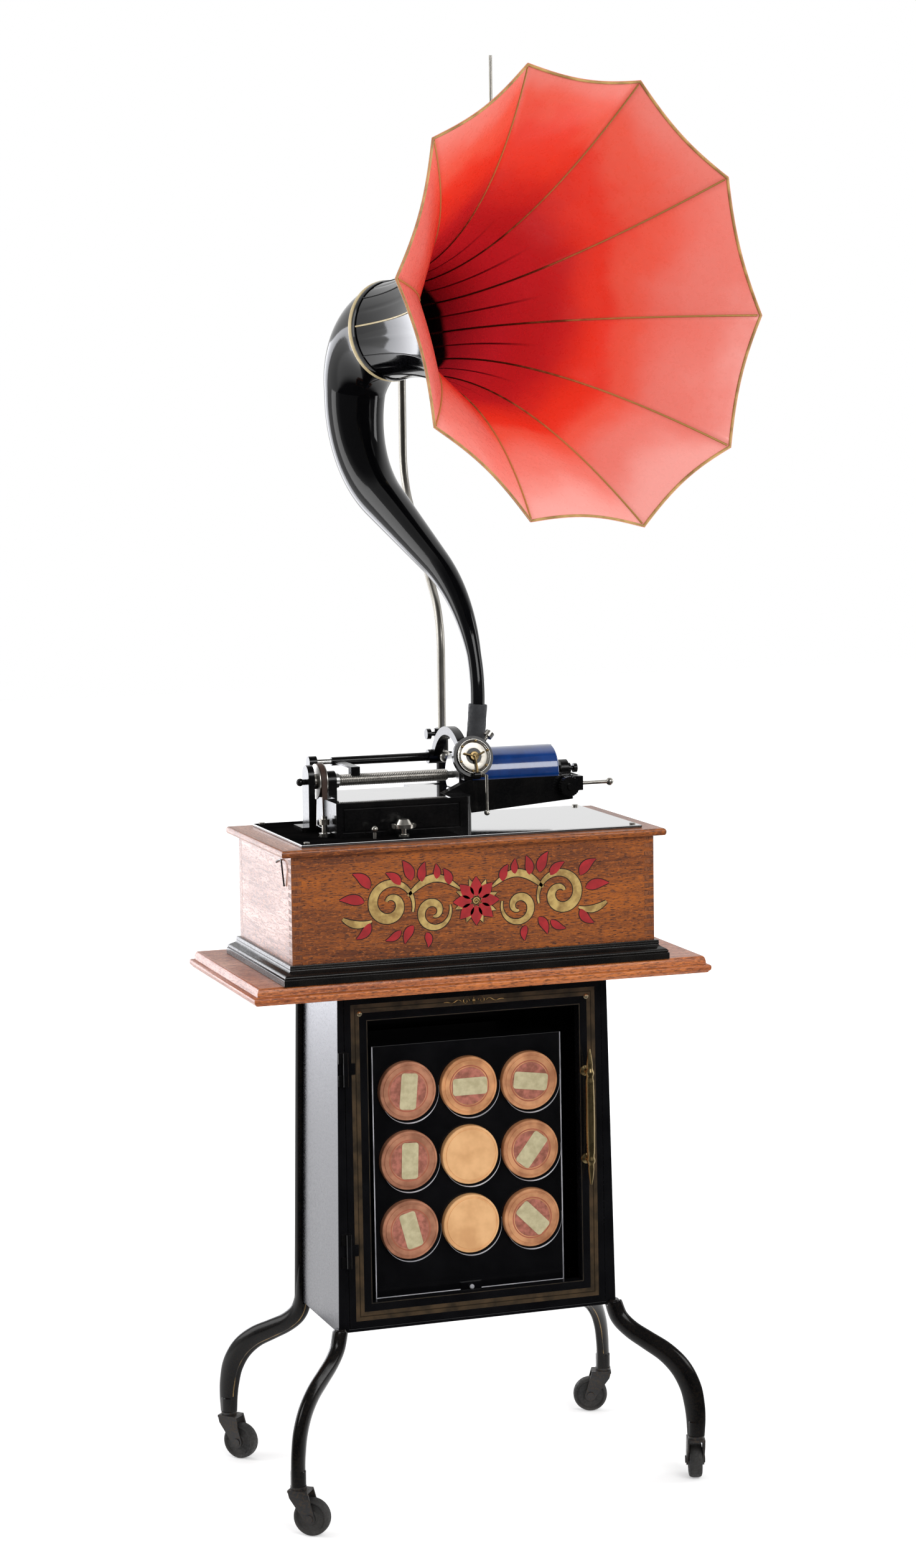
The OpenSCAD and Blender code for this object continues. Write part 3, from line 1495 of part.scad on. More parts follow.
module crane_bracket() {
    color("#1a1a1d") placed() difference() {
        union() {
            rod_z(crane_x, crane_y, crane_z0, socket_top, 7);
            box(crane_x - 16, crane_x + 16, case_y1, case_y1 + 4, crane_z0, crane_z0 + 60);
            box(crane_x - 5, crane_x + 5, case_y1 + 3, crane_y, crane_z0 + 4, crane_z0 + 56);
            rod_z(crane_x, crane_y, socket_top - 12, socket_top, 9);
            rod_x(crane_x - 19, crane_x, crane_y, socket_top - 6, 2.4);
            rod_x(crane_x - 19, crane_x - 14, crane_y, socket_top - 6, 6);
        }
        rod_z(crane_x, crane_y, crane_z0 + 6, socket_top + 1, crane_r + run_fit);
    }
}

cabinet_shell();
door_frame();
door_hinges();
door_handle();
record_rack();
carton_1();
carton_2();
carton_3();
carton_4();
carton_5();
carton_6();
carton_7();
carton_8();
carton_9();
leg_front_left();
leg_front_right();
leg_back_left();
leg_back_right();
caster_fork_front_left();
caster_fork_front_right();
caster_fork_back_left();
caster_fork_back_right();
caster_wheel_front_left();
caster_wheel_front_right();
caster_wheel_back_left();
caster_wheel_back_right();
table_board();
case_front();
case_back();
case_left();
case_right();
base_moulding();
deck_board();
bedplate();
bedplate_screws();
shaft_pedestal();
body_casting();
guide_rod();
feed_shaft();
shaft_pulley();
mandrel();
record_cylinder();
carriage_arm();
sound_box();
lift_lever();
end_gate();
speed_screw();
brake_knob();
motor_frame();
spring_barrel();
second_shaft();
governor();
winding_shaft();
drive_belt();
horn_bell();
horn_elbow();
horn_cuff();
crane_bracket();
crane_rod();
horn_hanger();
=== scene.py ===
# %% [markdown]
# # A cylinder talking machine on its record cabinet
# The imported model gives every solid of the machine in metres, each on the body it moves with.
# This notebook dresses those solids: it keeps a solid where only its finish was missing, and
# builds a finer piece where the real one has rolled edges, threads, seams or printed paper.

# %% Load the frame
import json
from math import atan, atan2, cos, degrees, exp, hypot, pi, radians, sin, tan

import bmesh
import bpy
import numpy as np
from mathutils import Matrix, Vector

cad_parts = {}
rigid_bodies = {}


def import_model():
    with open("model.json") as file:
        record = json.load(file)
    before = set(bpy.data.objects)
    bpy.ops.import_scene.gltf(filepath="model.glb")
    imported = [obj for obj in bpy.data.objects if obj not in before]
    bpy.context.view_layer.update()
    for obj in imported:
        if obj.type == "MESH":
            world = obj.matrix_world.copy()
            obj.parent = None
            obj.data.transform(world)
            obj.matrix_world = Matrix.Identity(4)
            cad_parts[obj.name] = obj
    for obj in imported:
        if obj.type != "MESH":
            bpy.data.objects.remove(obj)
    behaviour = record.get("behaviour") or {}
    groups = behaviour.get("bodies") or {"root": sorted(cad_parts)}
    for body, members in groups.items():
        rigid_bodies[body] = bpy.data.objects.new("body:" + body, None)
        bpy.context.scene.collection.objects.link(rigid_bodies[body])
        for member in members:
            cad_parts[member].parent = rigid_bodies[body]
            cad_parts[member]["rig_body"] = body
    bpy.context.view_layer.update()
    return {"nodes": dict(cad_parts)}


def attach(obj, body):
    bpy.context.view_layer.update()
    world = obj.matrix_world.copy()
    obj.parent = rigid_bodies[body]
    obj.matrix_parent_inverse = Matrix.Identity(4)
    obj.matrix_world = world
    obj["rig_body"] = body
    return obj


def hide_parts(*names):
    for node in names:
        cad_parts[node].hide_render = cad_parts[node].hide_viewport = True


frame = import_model()
solids = frame["nodes"]

# %% [markdown]
# ## Measures
# The machine was drawn in millimetres from the middle of the cabinet, so the same numbers are
# used here. Two functions go between such a point and the frame's metres, another follows the
# cabinet's front, which leans back a little because the cabinet tapers upwards, and one gives
# the matrix of a place with a turn.

# %% Points in the machine's own millimetres
CABINET_FOOT = 186.0
LEAN = atan(5.5 / 364)
TABLE_TOP = 568.0
CASE_TOP = 701.0
BED_TOP = 712.0
AXIS_Y = 20.0
AXIS_Z = 764.0
MIDDLE_X, MIDDLE_Y = 45, 43


def metres(p):
    return ((p[0] - MIDDLE_X) / 1000, (p[1] - MIDDLE_Y) / 1000, p[2] / 1000)


def millimetres(c):
    return (c.x * 1000 + MIDDLE_X, c.y * 1000 + MIDDLE_Y, c.z * 1000)


def front(x, depth, height):
    """A point by the cabinet's front: depth runs into it, height up along its lean."""
    y = -71 + depth * cos(LEAN) + height * sin(LEAN)
    z = CABINET_FOOT - depth * sin(LEAN) + height * cos(LEAN)
    return (x, y, z)


def placed(x, y, z, turn=0, axis="Z"):
    """The matrix of a place, with a turn in degrees about one axis."""
    return Matrix.Translation((x, y, z)) @ Matrix.Rotation(radians(turn), 4, axis)


def in_scene(name, data):
    made = bpy.data.objects.new(name, data)
    bpy.context.scene.collection.objects.link(made)
    return made


print("top of the front at", [round(c, 4) for c in metres(front(0, 0, 364))])

# %% [markdown]
# ## Camera
# The lens is long and stands at the left of the machine, a little above its deck. A vertical
# shift keeps the camera nearly level while the frame takes in the horn and the casters.

# %% Camera
def aim_camera(place, yaw, pitch, roll, lens, shift):
    yaw, pitch, roll = (radians(a) for a in (yaw, pitch, roll))
    ahead = Vector((sin(yaw) * cos(pitch), cos(yaw) * cos(pitch), -sin(pitch)))
    level = Vector((cos(yaw), -sin(yaw), 0))
    upright = level.cross(ahead)
    right = cos(roll) * level + sin(roll) * upright
    up = -sin(roll) * level + cos(roll) * upright
    data = bpy.data.cameras.new("camera")
    data.sensor_fit = "VERTICAL"
    data.sensor_height = 36
    data.lens = lens
    data.shift_y = shift
    data.clip_end = 50
    eye = in_scene("camera", data)
    rows = [[right[i], up[i], -ahead[i], place[i]] for i in range(3)]
    eye.matrix_world = Matrix(rows + [[0, 0, 0, 1]])
    bpy.context.scene.camera = eye
    return eye


EYE = (-1.2168, -3.4172, 1.1897)
YAW, PITCH, ROLL = 19.31, 4.224, -0.727
LENS, SHIFT = 76.29, -0.1
camera = aim_camera(EYE, YAW, PITCH, ROLL, LENS, SHIFT)
print("camera looks along", [round(c, 3) for c in camera.matrix_world.col[2]])

# %% [markdown]
# ## Node tools
# Short names for the steps that the room, the floor and every finish are made of.

# %% Tools for node groups
def colour(red, green, blue):
    """A colour written as on a screen, 0 to 255, turned into the linear values a shader takes."""
    def linear(c):
        c = c / 255
        return c / 12.92 if c <= 0.04045 else ((c + 0.055) / 1.055) ** 2.4

    return (linear(red), linear(green), linear(blue), 1.0)


def new_group(name, sockets_in, sockets_out):
    tree = bpy.data.node_groups.new(name, "ShaderNodeTree")
    for label, kind, value in sockets_in:
        made = tree.interface.new_socket(name=label, in_out="INPUT", socket_type=kind)
        if value is not None:
            made.default_value = value
    for label, kind in sockets_out:
        tree.interface.new_socket(name=label, in_out="OUTPUT", socket_type=kind)
    return tree, tree.nodes.new("NodeGroupInput"), tree.nodes.new("NodeGroupOutput")


def add_node(tree, kind, **settings):
    made = tree.nodes.new(kind)
    for key, value in settings.items():
        setattr(made, key, value)
    return made


def fill(socket, value):
    """Leads another node's output to an input, or writes a plain value into it."""
    if isinstance(value, bpy.types.NodeSocket):
        socket.id_data.links.new(value, socket)
    else:
        socket.default_value = value


def feed(node, **given):
    """Fills a node's inputs by name, with an underscore for each space."""
    for label, value in given.items():
        fill(node.inputs[label.replace("_", " ")], value)


def stretched(tree, vector, scale):
    step = add_node(tree, "ShaderNodeVectorMath", operation="MULTIPLY")
    fill(step.inputs[1], scale)
    fill(step.inputs[0], vector)
    return step.outputs[0]


def noise(tree, vector, scale, detail=4.0, rough=0.55, bend=0.0):
    made = add_node(tree, "ShaderNodeTexNoise")
    feed(made, Vector=vector, Scale=scale, Detail=detail, Roughness=rough, Distortion=bend)
    return made.outputs["Fac"]


def ranged(tree, value, low, high, to_low=0.0, to_high=1.0):
    made = add_node(tree, "ShaderNodeMapRange", interpolation_type="SMOOTHSTEP")
    feed(made, Value=value, From_Min=low, From_Max=high, To_Min=to_low, To_Max=to_high)
    return made.outputs["Result"]


def reckon(tree, operation, a, b):
    made = add_node(tree, "ShaderNodeMath", operation=operation)
    fill(made.inputs[0], a)
    fill(made.inputs[1], b)
    return made.outputs[0]


def blended(tree, share, first, second):
    made = add_node(tree, "ShaderNodeMix", data_type="RGBA")
    for k, value in ((0, share), (6, first), (7, second)):
        fill(made.inputs[k], value)
    return made.outputs[2]


print("node tools ready")

# %% [markdown]
# ## Light and backdrop
# Black enamel and nickel show little but what they reflect, so the room matters more than the
# lamps. The world is white to the camera, white to reflections from behind the machine, darker
# to those from the front, and dimmer as light. Four broad soft lamps model the round parts. The
# floor is pale and keeps the shadow.

# %% Light, world and floor
def soft_lamp(name, place, target, size, watts):
    data = bpy.data.lights.new(name, "AREA")
    data.shape = "RECTANGLE"
    data.size, data.size_y = size
    data.energy = watts
    lamp = in_scene(name, data)
    lamp.location = place
    lamp.rotation_euler = (Vector(target) - Vector(place)).to_track_quat("-Z", "Y").to_euler()
    return lamp


WALL_FROM, WALL_TO, WALL_LOW = -0.3, 0.3, 0.12


def white_room(light):
    """White to the camera and behind the machine, and greyer to reflections of the front."""
    world = bpy.data.worlds.new("room")
    bpy.context.scene.world = world
    world.use_nodes = True
    tree = world.node_tree
    tree.nodes.clear()
    out = add_node(tree, "ShaderNodeOutputWorld")
    path = add_node(tree, "ShaderNodeLightPath").outputs
    axes = add_node(tree, "ShaderNodeSeparateXYZ")
    feed(axes, Vector=add_node(tree, "ShaderNodeTexCoord").outputs["Generated"])
    wall = ranged(tree, axes.outputs["Y"], WALL_FROM, WALL_TO, WALL_LOW, 1.0)
    lit, shown = (add_node(tree, "ShaderNodeBackground") for _ in range(2))
    matt = reckon(tree, "SUBTRACT", 1.0, path["Is Glossy Ray"])
    feed(lit, Color=(1, 1, 1, 1), Strength=reckon(tree, "MULTIPLY", matt, light))
    feed(shown, Color=(1, 1, 1, 1), Strength=1)
    seen = reckon(tree, "MAXIMUM", path["Is Camera Ray"], path["Is Transmission Ray"])
    mirrored = reckon(tree, "MULTIPLY", path["Is Glossy Ray"], wall)
    pick = add_node(tree, "ShaderNodeMixShader")
    share = reckon(tree, "MAXIMUM", seen, mirrored)
    for socket, value in zip(pick.inputs, (share, lit.outputs[0], shown.outputs[0])):
        fill(socket, value)
    feed(out, Surface=pick.outputs[0])


soft_lamp("lamp_left", (-2.8, 0.9, 1.9), (0, 0, 0.9), (1.2, 2.4), 30)
soft_lamp("lamp_front", (0.6, -3.4, 2.6), (0, 0, 0.9), (2.2, 1.6), 58)
soft_lamp("lamp_right", (2.7, -0.6, 1.5), (0, 0, 0.8), (0.6, 2.2), 18)
back_lamp = soft_lamp("lamp_back_left", (-1.15, 2.75, 0.75), (-0.1, 0, 0.5), (1.5, 1.5), 26)
back_lamp.data.color = (0.93, 0.94, 1.0)
white_room(0.62)
bpy.context.scene.view_settings.view_transform = "Standard"

# %% Floor
FLOOR_SIDE = 9.0
FLOOR_NEAR, FLOOR_FAR, FLOOR_MIRRORED = 0.34, 0.75, 0.6


def pale_floor():
    """Pale, glowing more with distance to the camera, and darker to reflections on its front side."""
    mesh = bpy.data.meshes.new("floor")
    corners = [(x * FLOOR_SIDE, y * FLOOR_SIDE, 0) for x, y in ((-1, -1), (1, -1), (1, 1), (-1, 1))]
    mesh.from_pydata(corners, [], [(0, 1, 2, 3)])
    floor = in_scene("floor", mesh)
    paint = bpy.data.materials.new("floor_paint")
    paint.use_nodes = True
    tree = paint.node_tree
    tree.nodes.clear()
    out = add_node(tree, "ShaderNodeOutputMaterial")
    matt = add_node(tree, "ShaderNodeBsdfDiffuse")
    glow = add_node(tree, "ShaderNodeEmission")
    path = add_node(tree, "ShaderNodeLightPath").outputs
    place = add_node(tree, "ShaderNodeTexCoord").outputs["Object"]
    axes = add_node(tree, "ShaderNodeSeparateXYZ")
    feed(axes, Vector=place)
    reach = add_node(tree, "ShaderNodeVectorMath", operation="LENGTH")
    fill(reach.inputs[0], place)
    behind = ranged(tree, axes.outputs["Y"], -0.6, 0.2)
    far = ranged(tree, reach.outputs["Value"], 0.5, 2.2, FLOOR_NEAR, FLOOR_FAR)
    seen = reckon(tree, "MULTIPLY", path["Is Camera Ray"], far)
    mirror = reckon(tree, "MULTIPLY", behind, FLOOR_MIRRORED)
    mirrored = reckon(tree, "MULTIPLY", path["Is Glossy Ray"], mirror)
    feed(glow, Strength=reckon(tree, "ADD", seen, mirrored))
    plain = reckon(tree, "SUBTRACT", 1.0, path["Is Glossy Ray"])
    share = reckon(tree, "MAXIMUM", behind, plain)
    feed(matt, Color=blended(tree, share, (0.02, 0.02, 0.02, 1), (0.9, 0.9, 0.9, 1)))
    both = add_node(tree, "ShaderNodeAddShader")
    fill(both.inputs[0], matt.outputs[0])
    fill(both.inputs[1], glow.outputs[0])
    feed(out, Surface=both.outputs[0])
    mesh.materials.append(paint)


pale_floor()
print("floor is", 2 * FLOOR_SIDE, "metres wide")

# %% [markdown]
# ## Shader groups
# Several finishes share an effect. Oak needs growth bands, pores and the pale flecks of
# quarter-sawn boards. Metals need the drawn lines of polishing. Paint and paper need slow
# changes of tone. Each is one group with named sockets, and each finish sets its own values.

# %% Groups for oak, drawn metal and slow mottle
def oak_group():
    tree, given, out = new_group(
        "oak figure",
        [
            ("Vector", "NodeSocketVector", None),
            ("Pale", "NodeSocketColor", colour(206, 130, 66)),
            ("Deep", "NodeSocketColor", colour(140, 72, 28)),
            ("Pores", "NodeSocketFloat", 0.5),
        ],
        [("Color", "NodeSocketColor"), ("Height", "NodeSocketFloat")],
    )
    vector = given.outputs["Vector"]
    bands = noise(tree, stretched(tree, vector, (14, 170, 170)), 1.0, 5, 0.65, 0.8)
    bands = ranged(tree, bands, 0.34, 0.68)
    slow = ranged(tree, noise(tree, stretched(tree, vector, (4, 22, 22)), 1.0, 2), 0.3, 0.7)
    tone = reckon(tree, "MULTIPLY", reckon(tree, "ADD", bands, slow), 0.5)
    pores = noise(tree, stretched(tree, vector, (130, 900, 900)), 1.0, 3, 0.7)
    pores = ranged(tree, pores, 0.5, 0.62)
    fleck = noise(tree, stretched(tree, vector, (240, 700, 420)), 1.0, 2, 0.5, 0.4)
    fleck = ranged(tree, fleck, 0.54, 0.66, 0, 0.75)
    body = blended(tree, tone, given.outputs["Deep"], given.outputs["Pale"])
    body = blended(tree, fleck, body, given.outputs["Pale"])
    dark = reckon(tree, "MULTIPLY", pores, given.outputs["Pores"])
    body = blended(tree, dark, body, colour(70, 30, 10))
    feed(out, Color=body, Height=reckon(tree, "SUBTRACT", tone, pores))
    return tree


def drawn_group():
    tree, given, out = new_group(
        "drawn metal",
        [
            ("Vector", "NodeSocketVector", None),
            ("Low", "NodeSocketFloat", 0.15),
            ("High", "NodeSocketFloat", 0.35),
        ],
        [("Roughness", "NodeSocketFloat"), ("Height", "NodeSocketFloat"), ("Stain", "NodeSocketFloat")],
    )
    vector = given.outputs["Vector"]
    lines = noise(tree, stretched(tree, vector, (60, 2600, 2600)), 1.0, 2)
    cloud = noise(tree, vector, 90, 4, 0.6)
    some_lines, some_cloud = reckon(tree, "MULTIPLY", lines, 0.4), reckon(tree, "MULTIPLY", cloud, 0.6)
    mixed = reckon(tree, "ADD", some_lines, some_cloud)
    made = add_node(tree, "ShaderNodeMapRange")
    low, high = given.outputs["Low"], given.outputs["High"]
    feed(made, Value=mixed, From_Min=0.3, From_Max=0.7, To_Min=low, To_Max=high)
    stain = ranged(tree, noise(tree, vector, 35, 6, 0.7), 0.5, 0.75)
    feed(out, Roughness=made.outputs["Result"], Height=lines, Stain=stain)
    return tree


def mottle_group():
    tree, given, out = new_group(
        "slow mottle",
        [
            ("Vector", "NodeSocketVector", None),
            ("Size", "NodeSocketFloat", 40.0),
        ],
        [("Patch", "NodeSocketFloat"), ("Fine", "NodeSocketFloat"), ("Speck", "NodeSocketFloat")],
    )
    vector = given.outputs["Vector"]
    scaled = add_node(tree, "ShaderNodeVectorMath", operation="SCALE")
    fill(scaled.inputs[0], vector)
    feed(scaled, Scale=given.outputs["Size"])
    place = scaled.outputs[0]
    patch = ranged(tree, noise(tree, place, 1.0, 3), 0.3, 0.7)
    specks = ranged(tree, noise(tree, place, 30.0, 2, 0.5), 0.68, 0.74)
    feed(out, Patch=patch, Fine=noise(tree, place, 14.0, 4, 0.65), Speck=specks)
    return tree


GROUPS = {"oak": oak_group(), "drawn": drawn_group(), "mottle": mottle_group()}
print("groups", [g.name for g in GROUPS.values()])

# %% [markdown]
# ## Finishes
# Every finish is a Principled shader. A helper makes it with its fixed values, and gives back
# the tree, so that a few lines can lead a group's outputs to colour, roughness and bump.

# %% Tools for finishes
def finish(name, roughness=0.5, metallic=0.0, base=(0.5, 0.5, 0.5, 1.0), **fixed):
    made = bpy.data.materials.new(name)
    made.use_nodes = True
    tree = made.node_tree
    shader = tree.nodes["Principled BSDF"]
    feed(shader, Base_Color=base, Roughness=roughness, Metallic=metallic, **fixed)
    made.diffuse_color = base
    return made, tree, shader


def own_place(tree, turn=(0, 0, 0)):
    where = add_node(tree, "ShaderNodeTexCoord").outputs["Object"]
    step = add_node(tree, "ShaderNodeMapping")
    feed(step, Vector=where, Rotation=[radians(a) for a in turn])
    return step.outputs["Vector"]


def use_group(tree, key, vector, **values):
    made = add_node(tree, "ShaderNodeGroup", node_tree=GROUPS[key])
    feed(made, Vector=vector, **values)
    return made.outputs


def raise_grain(tree, shader, height, strength, depth=0.0004):
    bump = add_node(tree, "ShaderNodeBump")
    feed(bump, Height=height, Strength=strength, Distance=depth)
    feed(shader, Normal=bump.outputs["Normal"])


def oak(name, pale, deep, turn=(0, 0, 0), pores=0.5, roughness=0.34):
    pale, deep = colour(*pale), colour(*deep)
    made, tree, shader = finish(name, roughness, base=pale, Coat_Weight=0.25, Coat_Roughness=0.12)
    given = use_group(tree, "oak", own_place(tree, turn), Pale=pale, Deep=deep, Pores=pores)
    gloss = ranged(tree, given["Height"], 0, 1, roughness + 0.12, roughness)
    feed(shader, Base_Color=given["Color"], Roughness=gloss)
    raise_grain(tree, shader, given["Height"], 0.35, 0.0003)
    return made


def enamel(name, base, patchy, roughness=0.12, level=0.3, rub=0.0, **fixed):
    """Stoved paint: smooth, with faint clouds and a share of rubbed brown."""
    base, patchy = colour(*base), colour(*patchy)
    made, tree, shader = finish(name, roughness, base=base, Specular_IOR_Level=level, **fixed)
    given = use_group(tree, "mottle", own_place(tree), Size=30.0)
    tone = blended(tree, given["Patch"], base, patchy)
    if rub:
        tone_share = reckon(tree, "MULTIPLY", ranged(tree, given["Fine"], 0.45, 0.62), rub)
        tone = blended(tree, tone_share, tone, colour(96, 74, 44))
    gloss = ranged(tree, given["Fine"], 0.3, 0.7, roughness * 0.8, roughness * 1.5)
    feed(shader, Base_Color=tone, Roughness=gloss)
    raise_grain(tree, shader, given["Patch"], 0.06, 0.0005)
    return made


def plated(name, bright, stain, low, high, stained=0.5, turn=(0, 0, 0), **fixed):
    made, tree, shader = finish(name, low, 1.0, bright, **fixed)
    given = use_group(tree, "drawn", own_place(tree, turn), Low=low, High=high)
    share = reckon(tree, "MULTIPLY", given["Stain"], stained)
    feed(shader, Base_Color=blended(tree, share, bright, stain), Roughness=given["Roughness"])
    raise_grain(tree, shader, given["Height"], 0.05, 0.0001)
    return made


def papery(name, base, spot, roughness=0.75, spots=0.6, size=60.0):
    base, spot = colour(*base), colour(*spot)
    made, tree, shader = finish(name, roughness, base=base)
    given = use_group(tree, "mottle", own_place(tree), Size=size)
    tone = blended(tree, reckon(tree, "MULTIPLY", given["Patch"], spots), base, spot)
    tone = blended(tree, reckon(tree, "MULTIPLY", given["Speck"], 0.5), tone, spot)
    feed(shader, Base_Color=tone)
    raise_grain(tree, shader, given["Fine"], 0.25, 0.0002)
    return made


print("tools ready")

# %% Oak, enamel and metals
PALE_OAK, DEEP_OAK = (178, 96, 28), (104, 48, 10)
OAK_X = oak("oak_along_x", PALE_OAK, DEEP_OAK, pores=0.95)
OAK_Y = oak("oak_along_y", PALE_OAK, DEEP_OAK, (0, 0, 90))
OAK_TABLE = oak("oak_table", (212, 124, 62), (150, 72, 30), pores=0.75)
OAK_END = oak("oak_end_grain", (150, 84, 36), (96, 46, 18), (0, 90, 0), 0.8, 0.5)
BLACK = enamel("black_enamel", (9, 9, 11), (15, 15, 17))
GLAZE = {"IOR": 1.8, "Coat_Weight": 1.0, "Coat_IOR": 1.8}
# A lit copy of the black enamel for the cabinet's sides: the same colours, more reflective and with a
# lavender tint on reflections, for the painted sheen on those sides.
BLACK_SIDE_SHEEN = enamel(
    "black_enamel_side_sheen", (9, 9, 11), (15, 15, 17), 0.2, 0.5, 0.0,
    Specular_Tint=(0.86, 0.87, 1, 1), IOR=1.8
)
BLACK_EDGE = enamel("black_enamel_edge", (16, 15, 14), (30, 26, 20), 0.2, 0.4, 0.5)
BLACK_CAST = enamel("black_japan", (8, 8, 9), (16, 15, 15), 0.16, 0.3)
BLACK_CAST_EDGE = enamel("black_japan_edge", (14, 13, 12), (34, 30, 24), 0.25, 0.4, 0.5)
BLACK_HORN = enamel("black_horn_enamel", (6, 6, 8), (11, 11, 13), 0.08, 0.3)
EBONISED = enamel("ebonised_oak", (13, 12, 12), (24, 21, 19), 0.22, 0.35)
CASTER_PAINT = enamel("caster_paint", (28, 28, 30), (44, 44, 46), 0.4, 0.4, 0.25)
NICKEL = plated("nickel", (0.74, 0.71, 0.65, 1), (0.36, 0.32, 0.25, 1), 0.12, 0.3)
NICKEL_DULL = plated("nickel_dull", (0.5, 0.48, 0.44, 1), (0.2, 0.18, 0.14, 1), 0.22, 0.42, 0.7)
ROD_NICKEL = plated(
    "rod_nickel", (0.44, 0.42, 0.38, 1), (0.24, 0.21, 0.16, 1), 0.28, 0.42, 0.5, (0, 90, 0),
    Specular_Tint=(0.3, 0.3, 0.3, 1)
)
STEEL = plated("turned_steel", (0.52, 0.52, 0.51, 1), (0.25, 0.23, 0.2, 1), 0.2, 0.38)
BRASS = plated("brass", (0.78, 0.56, 0.25, 1), (0.4, 0.26, 0.1, 1), 0.2, 0.42)
print("finishes", len(bpy.data.materials))

# %% Rubber, paper and print
RUBBER = enamel("hose_rubber", (48, 49, 52), (62, 63, 66), 0.55, 0.4)
TYRE = enamel("wheel_rubber", (38, 38, 38), (58, 56, 54), 0.6, 0.4)
LEATHER = papery("belt_leather", (64, 38, 22), (38, 22, 14), 0.6)
LID_CARD = papery("lid_card", (212, 152, 106), (158, 100, 64), 0.7, 0.9, 45.0)
TUBE_CARD = papery("tube_card", (186, 140, 92), (150, 104, 60), 0.75, 0.7)
PINK_PRINT = papery("pink_print", (186, 112, 94), (132, 76, 58), 0.7, 0.9, 160.0)
LABEL_PAPER = papery("label_paper", (200, 190, 152), (150, 136, 100), 0.8, 0.5, 120.0)
CREAM_INK = papery("cream_transfer", (196, 166, 98), (140, 108, 54), 0.45, 0.9, 110.0)
RED_INK = papery("red_transfer", (176, 26, 34), (130, 20, 24), 0.45, 0.6, 90.0)
BLACK_INK = papery("black_transfer", (30, 22, 16), (50, 36, 24), 0.5, 0.6, 90.0)
GOLD_LINE = papery("gold_line", (196, 158, 92), (128, 96, 48), 0.4, 0.8, 50.0)
BRONZE_LINE = papery("bronze_line", (74, 57, 36), (40, 32, 20), 0.35, 0.9, 60.0)
THIN_LINE = papery("thin_line", (54, 44, 30), (26, 22, 16), 0.4, 0.9, 60.0)
RIVET_BRASS = plated("rivet_brass", (0.62, 0.52, 0.34, 1), (0.3, 0.22, 0.12, 1), 0.25, 0.45)
print("finishes", len(bpy.data.materials))

# %% [markdown]
# ## Making pieces
# A piece is a mesh made from points and faces. One helper places it, gives it its finishes,
# and lets it ride on its body. Others make the faces for a row of rings, a turned part, a rod
# along a path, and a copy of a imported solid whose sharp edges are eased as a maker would.

# %% Tools for meshes
def settle(piece, body, slot, hides=()):
    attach(piece, body)
    if hides:
        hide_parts(*hides)
    return piece


def even_normals(piece):
    """Leans shading towards the large faces, so that flat faces next to rounded edges look flat."""
    leaning = piece.modifiers.new("even_normals", "WEIGHTED_NORMAL")
    leaning.keep_sharp = True
    leaning.weight = 60


MERGE_DISTANCE = 2e-6


def shade(mesh, angle):
    shape = bmesh.new()
    shape.from_mesh(mesh)
    bmesh.ops.remove_doubles(shape, verts=shape.verts, dist=MERGE_DISTANCE)
    bmesh.ops.recalc_face_normals(shape, faces=shape.faces)
    shape.to_mesh(mesh)
    shape.free()
    mesh.shade_smooth()
    mesh.set_sharp_from_angle(angle=radians(angle))


def put(name, points, faces, body, slot, looks, hides=(), marks=None, values=None, angle=38):
    mesh = bpy.data.meshes.new(name)
    mesh.from_pydata([metres(p) for p in points], [], faces)
    for look in looks:
        mesh.materials.append(look)
    if marks:
        mesh.polygons.foreach_set("material_index", marks)
    for label, numbers in (values or {}).items():
        mesh.attributes.new(label, "FLOAT", "POINT").data.foreach_set("value", numbers)
    shade(mesh, angle)
    piece = in_scene(name, mesh)
    even_normals(piece)
    return settle(piece, body, slot, hides)


def ring_faces(rings, sides, caps=True, around=False):
    faces = []
    for i in range(rings if around else rings - 1):
        here = i * sides
        there = ((i + 1) % rings) * sides
        for j in range(sides):
            k = (j + 1) % sides
            faces.append((here + j, here + k, there + k, there + j))
    if caps and not around:
        faces.append(tuple(reversed(range(sides))))
        faces.append(tuple(range((rings - 1) * sides, rings * sides)))
    return faces


def eased(profile, size, closed=False):
    """Rounds the corners of a profile, each with a short curve of four points."""
    out = []
    count = len(profile)
    for i, p in enumerate(profile):
        if not closed and i in (0, count - 1):
            out.append(p)
            continue
        before = Vector(profile[i - 1])
        after = Vector(profile[(i + 1) % count])
        corner = Vector(p)
        back = before - corner
        on = after - corner
        reach = min(size, 0.42 * back.length, 0.42 * on.length)
        if reach < 0.02 or back.angle(on, 3.1) > 2.8:
            out.append(p)
            continue
        start = corner + back.normalized() * reach
        end = corner + on.normalized() * reach
        for t in (0, 0.33, 0.67, 1):
            q = start * (1 - t) ** 2 + corner * 2 * t * (1 - t) + end * t * t
            out.append((q.x, q.y))
    return out


def circle(sides, radius=1.0):
    turns = [2 * pi * j / sides for j in range(sides)]
    return [(radius * cos(a), radius * sin(a)) for a in turns]


def turned(name, profile, place, body, slot, looks, sides=48, hides=(), loop=False):
    """A part turned about its own z axis from pairs of radius and height."""
    points = [place @ Vector((x, y, h)) for r, h in profile for x, y in circle(sides, r)]
    faces = ring_faces(len(profile), sides, caps=False, around=loop)
    return put(name, points, faces, body, slot, looks, hides)


